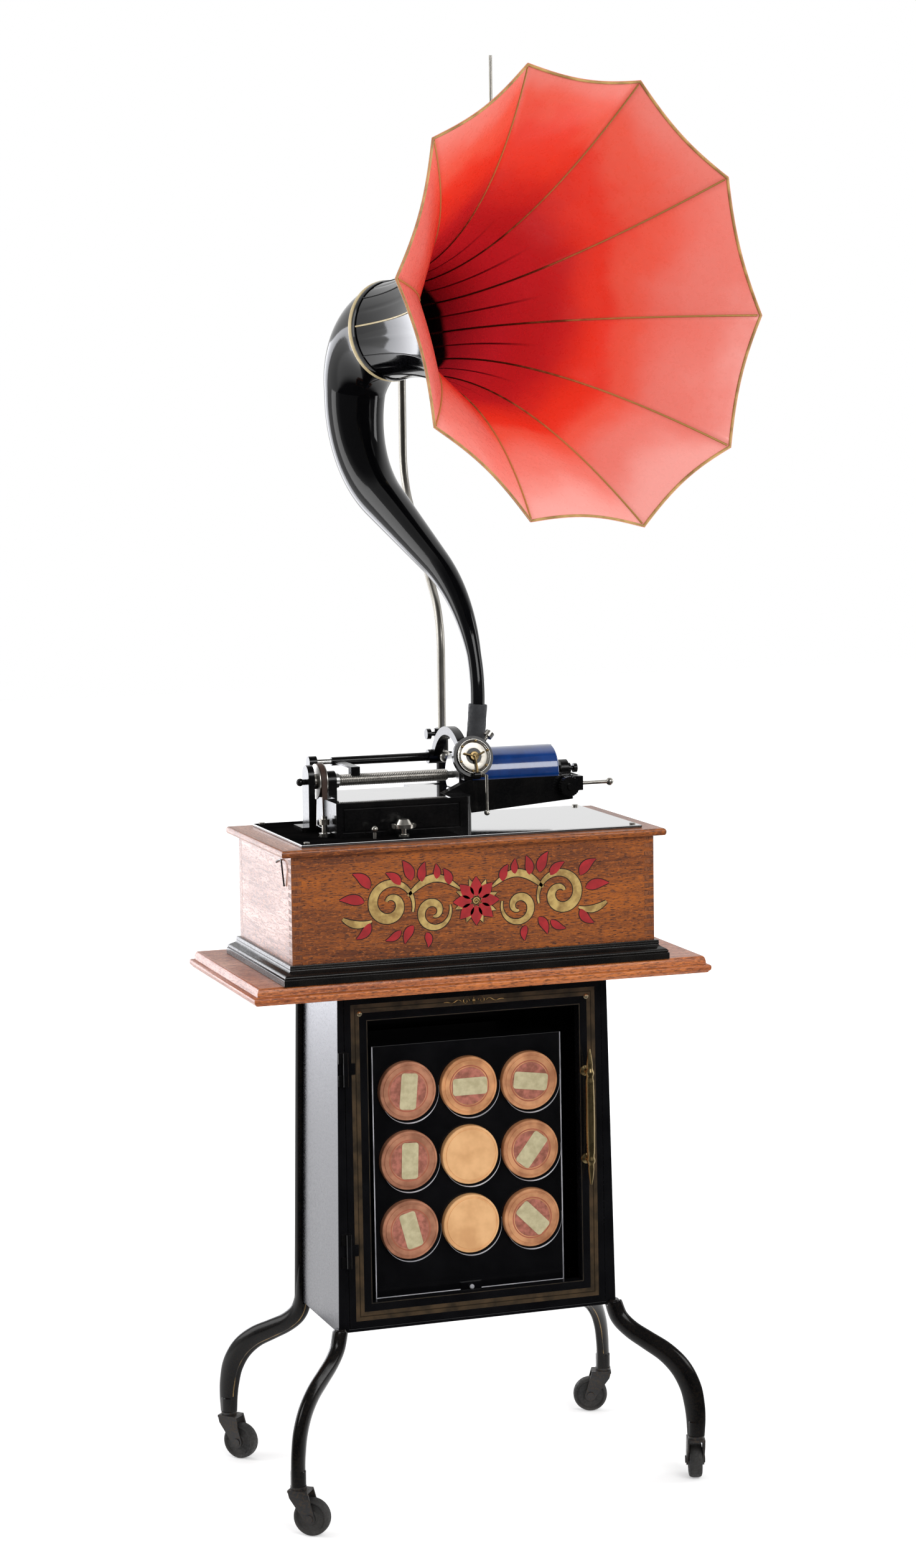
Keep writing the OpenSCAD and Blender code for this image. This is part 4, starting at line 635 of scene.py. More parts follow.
def swept_points(path, radius, sides, closed=False, squeeze=1.0):
    """Rings square to a path, carried along it without twist."""
    path = [Vector(p) for p in path]
    count = len(path)
    points = []
    side = None
    for i, here in enumerate(path):
        before = path[i - 1] if i or closed else here
        after = path[(i + 1) % count] if i < count - 1 or closed else here
        ahead = (after - before).normalized()
        if side is None:
            side = ahead.orthogonal().normalized()
        side = (side - ahead * side.dot(ahead)).normalized()
        up = ahead.cross(side)
        r = radius[i] if hasattr(radius, "__len__") else radius
        points.extend(here + side * x + up * (squeeze * y) for x, y in circle(sides, r))
    return points


def curved(points, steps):
    """A smooth path through points of any number of values, by the Catmull-Rom rule."""
    rows = [np.array(p, float) for p in points]
    ends = [2 * rows[0] - rows[1]] + rows + [2 * rows[-1] - rows[-2]]
    out = []
    for a, b, c, d in zip(ends, ends[1:], ends[2:], ends[3:]):
        for k in range(steps):
            t = k / steps
            square = (2 * a - 5 * b + 4 * c - d) * t**2
            out.append(0.5 * (2 * b + (c - a) * t + square + (3 * b - a - 3 * c + d) * t**3))
    return out + [rows[-1]]


def rod(name, path, radius, body, slot, looks, sides=16, hides=(), closed=False, angle=38):
    points = swept_points(path, radius, sides, closed)
    faces = ring_faces(len(path), sides, caps=not closed, around=closed)
    return put(name, points, faces, body, slot, looks, hides, angle=angle)


def joined(name, parts, body, slot, look, hides=(), values=None, angle=38):
    """Several pairs of points and faces as a single piece."""
    points = []
    faces = []
    for some_points, some_faces in parts:
        first = len(points)
        points.extend(some_points)
        faces.extend(tuple(first + k for k in face) for face in some_faces)
    return put(name, points, faces, body, slot, [look], hides, None, values, angle)


print("tools for rings, rods and turned parts ready")

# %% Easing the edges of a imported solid
LEAST_EASE = 0.04


def eased_copy(node, width, looks, slot, angle=34, short=0.0):
    """A copy of a solid with its sharp edges rounded by width millimetres, if its shape allows.

    A second finish goes on the rounded strips, where paint rubs thin and bare metal shines.
    """
    source = solids[node].data
    size = width
    body = solids[node]["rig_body"]
    want = np.array([v.co for v in source.vertices])
    while True:
        mesh = source.copy()
        mesh.name = node + "_eased"
        for label in ("custom_normal", "sharp_edge", "sharp_face"):
            if label in mesh.attributes:
                mesh.attributes.remove(mesh.attributes[label])
        shape = bmesh.new()
        shape.from_mesh(mesh)
        bmesh.ops.remove_doubles(shape, verts=shape.verts, dist=MERGE_DISTANCE)
        flat = radians(0.6)
        bmesh.ops.dissolve_limit(shape, angle_limit=flat, verts=shape.verts, edges=shape.edges)
        volume = shape.calc_volume()
        edges = [
            e
            for e in shape.edges
            if len(e.link_faces) == 2
            and e.calc_face_angle(0) > radians(angle)
            and e.calc_length() > max(short, 1.2 * size) / 1000
        ]
        if edges and size > LEAST_EASE:
            bmesh.ops.bevel(
                shape,
                geom=edges,
                offset=size / 1000,
                segments=2,
                profile=0.5,
                affect="EDGES",
                clamp_overlap=True,
                material=1 if len(looks) > 1 else -1,
            )
        change = abs(shape.calc_volume() / volume - 1) if volume else 0
        got = np.array([v.co for v in shape.verts])
        off = max(abs(got.min(0) - want.min(0)).max(), abs(got.max(0) - want.max(0)).max())
        if size <= LEAST_EASE or (change < 0.06 and off < 0.0004):
            break
        shape.free()
        size = size / 2
    bmesh.ops.recalc_face_normals(shape, faces=shape.faces)
    shape.to_mesh(mesh)
    shape.free()
    mesh.materials.clear()
    for look in looks:
        mesh.materials.append(look)
    mesh.shade_smooth()
    mesh.set_sharp_from_angle(angle=radians(angle))
    piece = in_scene(mesh.name, mesh)
    even_normals(piece)
    settle(piece, body, slot, (node,))
    print(f"{node}: edges eased by {size:.2f} mm on {len(edges)} edges")
    return piece


# %% [markdown]
# ## The horn's middle line
# The horn is one bent pipe under a flared bell. Its middle line is straight at the neck, then
# bends back, runs up, and bends forward twice. The bell stands on the end of that line, so all
# of the horn's pieces are placed by the same two matrices.

# %% Horn frames
RUNS = [
    (22.0, 0.0),
    (190 * radians(58), 58.0),
    (123.0, 0.0),
    (140 * radians(58), -58.0),
    (72 * radians(84), -84.0),
]
CROOK_START = sum(length for length, _ in RUNS[:4])
HORN_LENGTH = sum(length for length, _ in RUNS)
COLLAR_R, RIM_R, BELL_LENGTH = 55.0, 250.0, 340.0


def stretch(at, length, turn):
    x, z, heading = at
    if abs(turn) < 1e-9:
        a = radians(heading)
        return (x - length * sin(a), z + length * cos(a), heading)
    r = length / radians(turn)
    a, b = radians(heading), radians(heading + turn)
    return (x + r * (cos(b) - cos(a)), z + r * (sin(b) - sin(a)), heading + turn)


def middle_line(s):
    at = (0.0, 0.0, 0.0)
    for k, (length, turn) in enumerate(RUNS):
        if s <= length or k == len(RUNS) - 1:
            return stretch(at, s, turn * s / length)
        at = stretch(at, length, turn)
        s -= length
    return at


def pipe_radius(s):
    if s < 90:
        return 7.8
    if s < CROOK_START:
        return 7.8 + 27.2 * (s - 90) / (CROOK_START - 90)
    return 35 + 20 * (s - CROOK_START) / (HORN_LENGTH - CROOK_START)


HORN_TURN = 18.4
HORN = placed(31.3, 5, 806, 4.3, "Y") @ placed(0, 0, 0, HORN_TURN - 90)
horn_end = middle_line(HORN_LENGTH)
BELL = HORN @ placed(horn_end[0], 0, horn_end[1], 84, "Y")
print("horn is", round(HORN_LENGTH), "mm long, collar at", [round(c) for c in BELL.translation])

# %% [markdown]
# ## Bell
# The bell is ten panels of tinplate, seamed together. Each panel is bowed inwards, so the rim
# is a star with ten hollow sides. The surface is written as rings that pass from a circle at
# the collar to that star, and a rounded crease runs down the middle of each panel.

# %% Bell surface
PANELS = 10
PANEL_BOW = 8
# Where the painted glare begins on the colour ramp: the pale salmon from here to the rim is painted
# light on the red lacquer.
GLARE_FROM = 0.74


def bell_radius(t):
    return COLLAR_R + (RIM_R - COLLAR_R) * t**2.2


def bell_point(t, turn, thin):
    """turn counts panels round the bell, from seam to seam, and thin goes in from the outside."""
    u = turn % 1.0
    angle = 2 * pi * (turn + 0.5) / PANELS
    flat = cos(pi / PANELS) / cos(2 * pi / PANELS * (u - 0.5))
    crease = 1.0 * exp(-(((u - 0.5) / 0.05) ** 2)) * max(0.0, 1 - t / 0.5) * min(1.0, t / 0.1)
    r = bell_radius(t) * (flat * t + 1 - t) - PANEL_BOW * 4 * u * (1 - u) * t * t - thin - crease
    return Vector((r * cos(angle), -r * sin(angle), BELL_LENGTH * t))


def lacquer_and_glare(t, turn):
    """Place on the colour ramp: red lacquer, then the pale salmon of painted glare, which starts further
    out at the top and is palest on one side, where the light falls.
    """
    edge = 0.71 + 0.23 * max(0.0, cos(2 * pi * (turn - 4.4) / PANELS)) ** 1.5
    if t > edge:
        palest = 0.9 + 0.1 * max(0.0, cos(2 * pi * (turn - 9) / PANELS))
        return GLARE_FROM + (palest - GLARE_FROM) * ((t - edge) / (1 - edge)) ** 0.8
    return t + (GLARE_FROM - edge) * max(0.0, t - 0.3) / (edge - 0.3)


def bell_panels():
    steps, rows = 16, 44
    around = PANELS * steps
    points = []
    along = []
    side = []
    for thin in (0.0, 1.0):
        order = range(rows + 1) if thin == 0 else range(rows, -1, -1)
        for i in order:
            for j in range(around):
                u = (j % steps) / steps
                points.append(BELL @ bell_point(i / rows, j / steps, thin))
                along.append(lacquer_and_glare(i / rows, j / steps))
                side.append(abs(u - 0.5) * 2)
    rings = 2 * (rows + 1)
    faces = ring_faces(rings, around, around=True)
    marks = [0 if k // around < rows else 1 for k in range(len(faces))]
    return put(
        "bell_panels", points, faces, "horn", "red_horn", [BLACK_HORN, HORN_RED],
        ("horn_bell",), marks, {"along": along, "side": side}, 60
    )


def field(tree, label):
    return add_node(tree, "ShaderNodeAttribute", attribute_name=label).outputs["Fac"]


def ramp(tree, value, stops):
    made = tree.nodes.new("ShaderNodeValToRGB")
    made.color_ramp.interpolation = "EASE"
    while len(made.color_ramp.elements) < len(stops):
        made.color_ramp.elements.new(0.5)
    for element, (where, tone) in zip(made.color_ramp.elements, stops):
        element.position = where
        element.color = tone
    feed(made, Fac=value)
    return made.outputs["Color"]


def red_lacquer_painted_light():
    """Red lacquer with painted light: painted shade makes the throat black, painted glare gives the pale
    salmon towards the rim, and painted shade draws a dark line in each panel's crease.
    """
    coat = {"Coat_Weight": 0.35, "Coat_Roughness": 0.12}
    made, tree, shader = finish("red_lacquer_painted_light", 0.3, base=colour(230, 80, 60), **coat)
    along = field(tree, "along")
    given = use_group(tree, "mottle", own_place(tree), Size=9.0)
    drift = reckon(tree, "MULTIPLY", reckon(tree, "SUBTRACT", given["Patch"], 0.5), 0.07)
    # The first two stops are painted shade in the throat, the stops from the painted glare outwards are
    # painted highlight, and the reds between are the lacquer.
    tone = ramp(
        tree,
        reckon(tree, "ADD", along, drift),
        [
            (0.0, colour(14, 8, 9)),
            (0.085, colour(24, 9, 11)),
            (0.12, colour(216, 40, 56)),
            (0.3, colour(226, 44, 56)),
            (0.5, colour(206, 36, 40)),
            (0.66, colour(240, 56, 34)),
            (GLARE_FROM, colour(242, 92, 70)),
            (0.88, colour(240, 128, 114)),
            (1.0, colour(248, 166, 156)),
        ],
    )
    # Painted shade: a dark line down the crease in the middle of each panel, fading out towards the rim.
    line = ranged(tree, field(tree, "side"), 0.025, 0.075, 0.92, 0.0)
    fade = ranged(tree, along, 0.3, 0.5, 1.0, 0.0)
    tone = blended(tree, reckon(tree, "MULTIPLY", line, fade), tone, colour(70, 8, 12))
    near = ranged(tree, field(tree, "side"), 0.9, 1.0, 0.0, 0.25)
    tone = blended(tree, near, tone, colour(150, 40, 30))
    feed(shader, Base_Color=tone, Roughness=ranged(tree, given["Fine"], 0.3, 0.7, 0.24, 0.36))
    raise_grain(tree, shader, given["Patch"], 0.02, 0.001)
    return made


def seam_paint(name, bright_from):
    made, tree, shader = finish(name, 0.4, 0.6, colour(196, 158, 92))
    given = use_group(tree, "mottle", own_place(tree), Size=60.0)
    # The gilding goes from dark in the throat to bright towards the rim.
    tone_share = reckon(tree, "ADD", field(tree, "along"), reckon(tree, "MULTIPLY", given["Patch"], 0.12))
    dark, middle, bright = colour(40, 14, 12), colour(88, 44, 22), colour(206, 166, 98)
    tone = ramp(tree, tone_share, [(0.0, dark), (bright_from, middle), (bright_from + 0.3, bright)])
    feed(shader, Base_Color=tone)
    return made


HORN_RED = red_lacquer_painted_light()
SEAM_INSIDE = seam_paint("seam_gilding", 0.45)
SEAM_OUTSIDE = papery("outer_seam_gilding", (214, 196, 152), (176, 150, 100), 0.4, 0.5, 80.0)
bell = bell_panels()
print("bell faces", len(bell.data.polygons))

# %% [markdown]
# ## Seams and wired rim
# At each corner the tinplate is folded into a seam that stands a little proud on both sides,
# and the rim is rolled round a wire. Both are thin rods that follow the same bell formula. The
# gilding inside is bright near the rim and darker towards the throat. Outside, only the seam on
# top is gilded, and a nickelled ring stands beside it for the hook.

# %% Seams, rim and hanging ring
TOP_SEAM = 2


def seam_rods():
    steps = 40
    for face, first, thin, size, look in (
        ("inside", 0.07, 1.2, 1.35, SEAM_INSIDE), ("outside", 0.02, -0.3, 0.9, BLACK_HORN),
    ):
        parts = []
        along = []
        for k in range(PANELS):
            stops = [first + (0.992 - first) * i / steps for i in range(steps + 1)]
            path = [BELL @ bell_point(t, k, thin) for t in stops]
            size_at = [size * (0.75 + 0.35 * t) for t in stops]
            parts.append((swept_points(path, size_at, 8, squeeze=0.8), ring_faces(steps + 1, 8)))
            along.extend(t for t in stops for _ in range(8))
        values = {"along": along}
        joined(f"bell_seams_{face}", parts, "horn", "red_horn", look, ("horn_bell",), values, 60)


def wired_rim():
    steps = 16 * PANELS
    path = [BELL @ bell_point(0.997, j / 16, 0.5) for j in range(steps)]
    rod("bell_rim_wire", path, 1.6, "horn", "red_horn", [GOLD_LINE], 10, ("horn_bell",), True)


RING_SEAT, RING_AT = 96.1, 176
RING_R = 8


def hanging_ring():
    middle = BELL @ placed(-RING_SEAT - 11.5, 0, RING_AT, 90, "X")
    path = [middle @ Vector((x, y, 0)) for x, y in circle(40, RING_R)]
    rod("horn_ring", path, 1.6, "horn", "nickel", [NICKEL_DULL], 12, ("horn_bell",), True)
    foot = BELL @ placed(-RING_SEAT - 0.2, 0, RING_AT, -118, "Y")
    profile = eased([(0, -0.3), (6, -0.3), (6, 0.7), (3.2, 1.2), (2.8, 4.2), (0, 4.2)], 0.4)
    turned("horn_ring_foot", profile, foot, "horn", "black_horn", [BLACK_HORN], 28, ("horn_bell",))


def gilded_seam(k):
    stops = [0.02 + 0.95 * i / 30 for i in range(31)]
    path = [BELL @ bell_point(t, k, -0.55) for t in stops]
    rod("bell_gilded_seam", path, 0.95, "horn", "red_horn", [SEAM_OUTSIDE], 8, ("horn_bell",))


seam_rods()
gilded_seam(TOP_SEAM)
wired_rim()
hanging_ring()
print("seams", PANELS, "inside and outside")

# %% [markdown]
# ## Swan neck
# The neck is a tapered pipe with a hollow inside, open into the bell. Its collar carries a
# gilded band and a narrow black bead. A rubber cuff joins the neck to the sound box's pipe.

# %% Neck, collar and cuff
def pipe_rings(grow, count, sides, start=9.0, end=HORN_LENGTH):
    points = []
    for i in range(count + 1):
        s = start + (end - start) * i / count
        x, z, heading = middle_line(s)
        r = pipe_radius(s) + grow
        h = radians(heading)
        for u, v in circle(sides, r):
            points.append(HORN @ Vector((x + u * cos(h), -v, z + u * sin(h))))
    return points


def swan_neck():
    count, sides = 110, 48
    outer = pipe_rings(0.0, count, sides)
    inner = pipe_rings(-1.0, count, sides)
    inner = [p for i in range(count, -1, -1) for p in inner[i * sides : (i + 1) * sides]]
    rings = 2 * (count + 1)
    faces = ring_faces(rings, sides, around=True)
    marks = [0 if k // sides < count else 1 for k in range(len(faces))]
    put(
        "horn_neck", outer + inner, faces, "horn", "black_horn", [BLACK_HORN, BLACK_CAST],
        ("horn_elbow",), marks, None, 50
    )


def collar_bands():
    gilt = [(54.6, -7), (56.0, -7), (57.0, -5.6), (57.3, -3.4)]
    gilt += [(57.0, -1.2), (56.4, -0.4), (55.2, -0.2), (54.6, -0.4)]
    bead = [(55.15, -0.2), (56.6, 0.2), (57.0, 1.6), (56.6, 4.6), (56.0, 6), (55.3, 6)]
    for name, profile, look in (("gilt_band", gilt, SEAM_OUTSIDE), ("black_bead", bead, BLACK_HORN)):
        turned(f"collar_{name}", profile, BELL, "horn", "black_horn", [look], 72, ("horn_elbow",), True)


def rubber_cuff():
    profile = [
        (6.35, -8), (9.6, -8), (10.3, -7), (10.3, 2), (10.0, 6), (10.2, 12), (10.0, 20), (10.2, 27),
        (10.3, 33.6), (9.8, 35), (7.95, 35), (7.9, 34), (7.86, 9.2), (6.3, 8.9), (6.27, -7.6)
    ]
    turned("horn_cuff_hose", profile, HORN, "horn", "rubber", [RUBBER], 40, ("horn_cuff",), True)


swan_neck()
collar_bands()
rubber_cuff()
print("neck done, pipe radius", pipe_radius(0), "to", pipe_radius(HORN_LENGTH))

# %% [markdown]
# ## Crane
# A nickelled rod stands in a socket behind the case, passes up behind the horn and reaches over
# it to a hanger, whose hook takes the horn's ring. The rod bends out and upright again behind
# the case, then leans forward over the horn and turns level at its tip.

# %% Crane rod, hanger and socket
HANG = (68.52, 36.16)
TIP_Z = 1451.2
CRANE_FOOT, CRANE_OUT = Vector((32, 120)), Vector((49, 296))
CRANE_BEND = radians(50)
OUT_R, OVER_R, TIP_R = 80, 150, 60
BEND_Z = 890
EYE_R = 8


def crane_arc(start, aim, angles, reach, height):
    """Points of one bend, whose reach and height follow from the rod's angle."""
    for h in angles:
        q = start + aim * reach(h)
        yield (q.x, q.y, height(h))


def crane_path():
    bend = CRANE_BEND

    def run_of(h):
        return 1 - cos(h)

    low, high = CRANE_OUT - CRANE_FOOT, Vector(HANG) - CRANE_OUT
    tip = pi / 2 - bend
    slant = (low.length - 2 * OUT_R * run_of(bend)) / sin(bend)
    rise = 2 * OUT_R * sin(bend) + slant * cos(bend)
    over = high.length - OVER_R * run_of(bend) - TIP_R * cos(bend) - EYE_R
    high_z = TIP_Z - OVER_R * sin(bend) - over / tan(bend) - TIP_R * run_of(tip)
    points = [(CRANE_FOOT.x, CRANE_FOOT.y, z) for z in (614, 750)]
    points += crane_arc(
        CRANE_FOOT, low.normalized(), [bend * k / 14 for k in range(15)],
        lambda h: OUT_R * run_of(h), lambda h: BEND_Z + OUT_R * sin(h),
    )
    points += crane_arc(
        CRANE_FOOT, low.normalized(), [bend * (1 - k / 14) for k in range(15)],
        lambda h: low.length - OUT_R * run_of(h), lambda h: BEND_Z + rise - OUT_R * sin(h),
    )
    points += crane_arc(
        CRANE_OUT, high.normalized(), [bend * k / 18 for k in range(19)],
        lambda h: OVER_R * run_of(h), lambda h: high_z + OVER_R * sin(h),
    )
    points += crane_arc(
        CRANE_OUT, high.normalized(), [bend + tip * k / 14 for k in range(15)],
        lambda h: high.length - EYE_R - TIP_R * cos(h),
        lambda h: TIP_Z - TIP_R * (1 - sin(h)),
    )
    return points + [(HANG[0], HANG[1], TIP_Z)]


def crane():
    path = crane_path()
    path[-1] = tuple(Vector(path[-1]) - Vector((0.4, -5.2, 0)))
    rod("crane_arm", path, 4.5, "stand", "nickel", [ROD_NICKEL], 24, ("crane_rod",))
    eye = eased([(1.9, -5), (6.2, -5), (7, -4), (7, 4), (6.2, 5), (1.9, 5)], 0.6, True)
    place = placed(*HANG, TIP_Z)
    turned("crane_eye", eye, place, "stand", "nickel", [ROD_NICKEL], 36, ("crane_rod",), True)
    print("crane path points", len(path))


HANGER_TOP, HOOK_Z, HOOK_R = TIP_Z + 90, 1375.8, 5
HOOK_MIDDLE = Vector((63.8, 34.6))
HOOK_TURN = radians(HORN_TURN)
NUT_BAND = (5.6, 10.4)


def hanger():
    path = [(*HANG, HANGER_TOP - i / 8 * (HANGER_TOP - HOOK_Z)) for i in range(9)]
    for k in range(1, 22):
        a = radians(-10 * k)
        reach = HOOK_R * cos(a)
        x = HOOK_MIDDLE.x + reach * cos(HOOK_TURN)
        y = HOOK_MIDDLE.y + reach * sin(HOOK_TURN)
        path.append((x, y, HOOK_Z + HOOK_R * sin(a)))
    size = [1.8] * 9 + [1.6] * 21
    rod("hanger_hook", path, size, "stand", "nickel", [ROD_NICKEL], 14, ("horn_hanger",))
    turns = [(2.05, 5), (5.4, 5), (6.1, NUT_BAND[0]), (6.1, NUT_BAND[1]), (5.4, 11)]
    turns += [(4, 11.2), (4, 13.4), (3.4, 14), (2.05, 14)]
    knurled_nut("hanger_nut", turns, placed(*HANG, TIP_Z), ("horn_hanger",))


def knurled_nut(name, profile, place, hides):
    """A turned nut whose rim is cut with 36 teeth between the two heights of the band."""
    sides = 36 * 4
    points = []
    widest = max(r for r, _ in profile)
    for radius, height in profile:
        for j, (x, y) in enumerate(circle(sides)):
            cut = 0.0
            if radius > widest - 0.9 and NUT_BAND[0] - 0.01 <= height <= NUT_BAND[1] + 0.01:
                cut = (0.0, 0.28, 0.55, 0.28)[j % 4]
            r = radius - cut
            points.append(place @ Vector((r * x, r * y, height)))
    faces = ring_faces(len(profile), sides, around=True)
    return put(name, points, faces, "stand", "nickel", [ROD_NICKEL], hides, angle=50)


crane()
hanger()
eased_copy("crane_bracket", 0.8, [BLACK_CAST, BLACK_CAST_EDGE], "black_iron")

# %% [markdown]
# ## Boards with a moulded edge
# The table and the deck are boards whose edge is shaped all round. One profile, swept along the
# rectangle with mitred corners, gives the edge and both faces in one closed shell. The deck has
# a well under the bedplate, so its profile is closed into a ring instead of two faces.

# %% Rectangular mouldings
def rectangle(x0, x1, y0, y1, inset, z):
    x0, x1, y0, y1 = x0 + inset, x1 - inset, y0 + inset, y1 - inset
    return [(x0, y0, z), (x1, y0, z), (x1, y1, z), (x0, y1, z)]


def flat_frame(name, bounds, profile, on_face, body, slot, look):
    """A raised line round a rectangle: pairs of inset and depth, laid on a face of the machine."""
    points = []
    for inset, depth in profile:
        points.extend(on_face(x, depth, h) for x, h, _ in rectangle(*bounds, inset, 0))
    return put(name, points, ring_faces(len(profile), 4, around=True), body, slot, [look], angle=30)


def moulded(name, bounds, z, profile, slot, looks, hides=(), ring=False, sides_mark=None):
    """Profile is pairs of inset and height over z, swept round a rectangle x0, x1, y0, y1."""
    points = [p for inset, h in profile for p in rectangle(*bounds, inset, z + h)]
    faces = ring_faces(len(profile), 4, caps=not ring, around=ring)
    marks = None
    if sides_mark is not None:
        marks = [sides_mark if f % 2 == 1 else 0 for f in range(len(faces))]
        if not ring:
            marks[-2:] = [0, 0]
    return put(name, points, faces, "stand", slot, looks, hides, marks, angle=40)


def table():
    profile = [(4.2, -18), (3.0, -17.6), (2.2, -16.2), (0.9, -15.2), (0.2, -13.8), (0, -12)]
    profile += [(0.1, -10.6), (0.8, -9.6), (2.0, -9.0), (4.0, -8.8), (4.4, -8.4)]
    for k in range(7):
        a = radians(90 * k / 6)
        profile.append((4.6 + 3.4 * (1 - cos(a)), -7.6 + 7.6 * sin(a)))
    profile.append((9.0, 0))
    looks = [OAK_TABLE, OAK_TABLE_SIDE]
    bounds = (-256, 256, -113, 149)
    moulded("table_oak", bounds, TABLE_TOP, profile, "oak", looks, ("table_board",), sides_mark=1)


def deck():
    profile = [(3.2, 0), (1.2, 0.6), (0.3, 2.0), (0, 4), (0.2, 5.6), (0.9, 7.0)]
    profile += [(2.1, 7.8), (3.6, 8), (30, 8), (30, 0)]
    bounds = (-222, 208, -105, 111)
    moulded("deck_oak", bounds, CASE_TOP, profile, "oak", [OAK_X, OAK_Y], ("deck_board",), True, 1)


OAK_TABLE_SIDE = oak("table_oak_ends", (190, 104, 58), (140, 68, 32), (0, 0, 90))
table()
deck()
print("table and deck moulded")

# %% [markdown]
# ## Case
# Four oak boards meet in finger joints at the front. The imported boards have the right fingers,
# so each is copied with its edges eased a little, and the ends of the fingers get end grain,
# which is darker because the cut pores drink the varnish.

# %% Case boards and base moulding
def retouch(piece, mark, test):
    """Gives a finish to the faces that pass a test of their middle, in millimetres, and normal."""
    changed = 0
    for face in piece.data.polygons:
        if test(millimetres(face.center), face.normal):
            face.material_index = mark
            changed += 1
    return changed


def case_boards():
    front_board = eased_copy("case_front", 0.25, [OAK_X, OAK_END], "oak")
    ends = retouch(front_board, 1, lambda c, n: abs(n.x) > 0.9)
    for node in ("case_left", "case_right"):
        board = eased_copy(node, 0.25, [OAK_Y, OAK_END], "oak")
        ends += retouch(board, 1, lambda c, n: n.y < -0.9)
    eased_copy("case_back", 0.3, [OAK_X, OAK_END], "oak")
    print("faces with end grain", ends)


def base_ogee():
    profile = [(0, 0), (-12.2, 0), (-12.5, 0.3), (-12.5, 6.2), (-12.3, 6.8), (-11.8, 7.1)]
    for k in range(13):
        t = k / 12
        out = -11.2 + 7.2 * (t * t * (3 - 2 * t))
        profile.append((out - 1.1 * sin(2 * pi * t), 7.4 + 9.4 * t))
    profile += [(-3.7, 17.2), (-3.6, 19.4), (-3.3, 19.9), (0, 20)]
    hides = ("base_moulding",)
    bounds = (-210, 196, -97, 103)
    moulded("base_ogee", bounds, TABLE_TOP, profile, "ebonised_wood", [EBONISED], hides, True)


def case_wire():
    points = [(-211.2, -75, 668), (-212.2, -75, 677), (-213, -74.5, 687), (-212.6, -71, 693)]
    points += [(-211.6, -64, 694.5), (-211.2, -52, 692), (-210.6, -44, 689.5), (-209, -42, 689)]
    rod("case_hook_wire", curved(points, 6), 0.9, "stand", "steel", [BLACK_CAST], 8)


case_boards()
base_ogee()
case_wire()
print("case done")

# %% [markdown]
# ## Transfer on the case front
# A printed transfer lies on the varnish. This one is a rosette between two pairs of leafy
# scrolls. Flat shapes are drawn on the board as strokes of changing width and as petals, in
# three layers: a black outline, a cream body and red leaves, each a little above the last.

# %% Drawing with strokes and petals
def stroke(path, widths):
    """A flat brush stroke: pairs of points left and right of a path, joined by faces."""
    points = []
    for i, here in enumerate(path):
        before = path[max(i - 1, 0)]
        after = path[min(i + 1, len(path) - 1)]
        dx, dz = after[0] - before[0], after[1] - before[1]
        size = hypot(dx, dz) or 1
        w = widths[i] / 2
        points.append((here[0] - dz / size * w, here[1] + dx / size * w))
        points.append((here[0] + dz / size * w, here[1] - dx / size * w))
    return points, [(2 * i, 2 * i + 1, 2 * i + 3, 2 * i + 2) for i in range(len(path) - 1)]


def spiral(x, z, r0, r1, start, turn, count=40):
    out = []
    for k in range(count + 1):
        t = k / count
        a = radians(start + turn * t)
        r = r0 + (r1 - r0) * t
        out.append((x + r * cos(a), z + r * sin(a)))
    return out


def swelling(count, thick, thin=0.3):
    return [thin + (thick - thin) * sin(pi * (k + 0.6) / (count + 1.2)) for k in range(count)]


def leaf(x, z, aim, length, width, bow=0.0, count=12):
    a = radians(aim)
    path = []
    for k in range(count + 1):
        reach = length * k / count
        side = bow * sin(pi * k / count)
        px = x + reach * cos(a) - side * sin(a)
        path.append((px, z + reach * sin(a) + side * cos(a)))
    widths = [0.2 + width * sin(pi * (k / count) ** 0.75) for k in range(count + 1)]
    return path, widths


def laid(name, shapes, grow, height, look, on_board, body="stand", slot="oak"):
    """Lays strokes on a surface: a top face at the given height and side walls down to it."""
    parts = []
    for path, widths in shapes:
        flat, faces = stroke(path, [w + 2 * grow for w in widths])
        count = len(flat)
        top = [on_board(x, z, height) for x, z in flat]
        base = [on_board(x, z, -0.05) for x, z in flat]
        walls = []
        for i in range(len(path) - 1):
            for side in (0, 1):
                a, b = 2 * i + side, 2 * i + 2 + side
                walls.append((a, b, count + b, count + a))
        walls.append((0, 1, count + 1, count))
        walls.append((count - 2, count - 1, 2 * count - 1, 2 * count - 2))
        back = [tuple(count + k for k in reversed(face)) for face in faces]
        parts.append((top + base, faces + walls + back))
    return joined(name, parts, body, slot, look, angle=30)


def board_place(x, z, height):
    return (x, -97 - height, z)


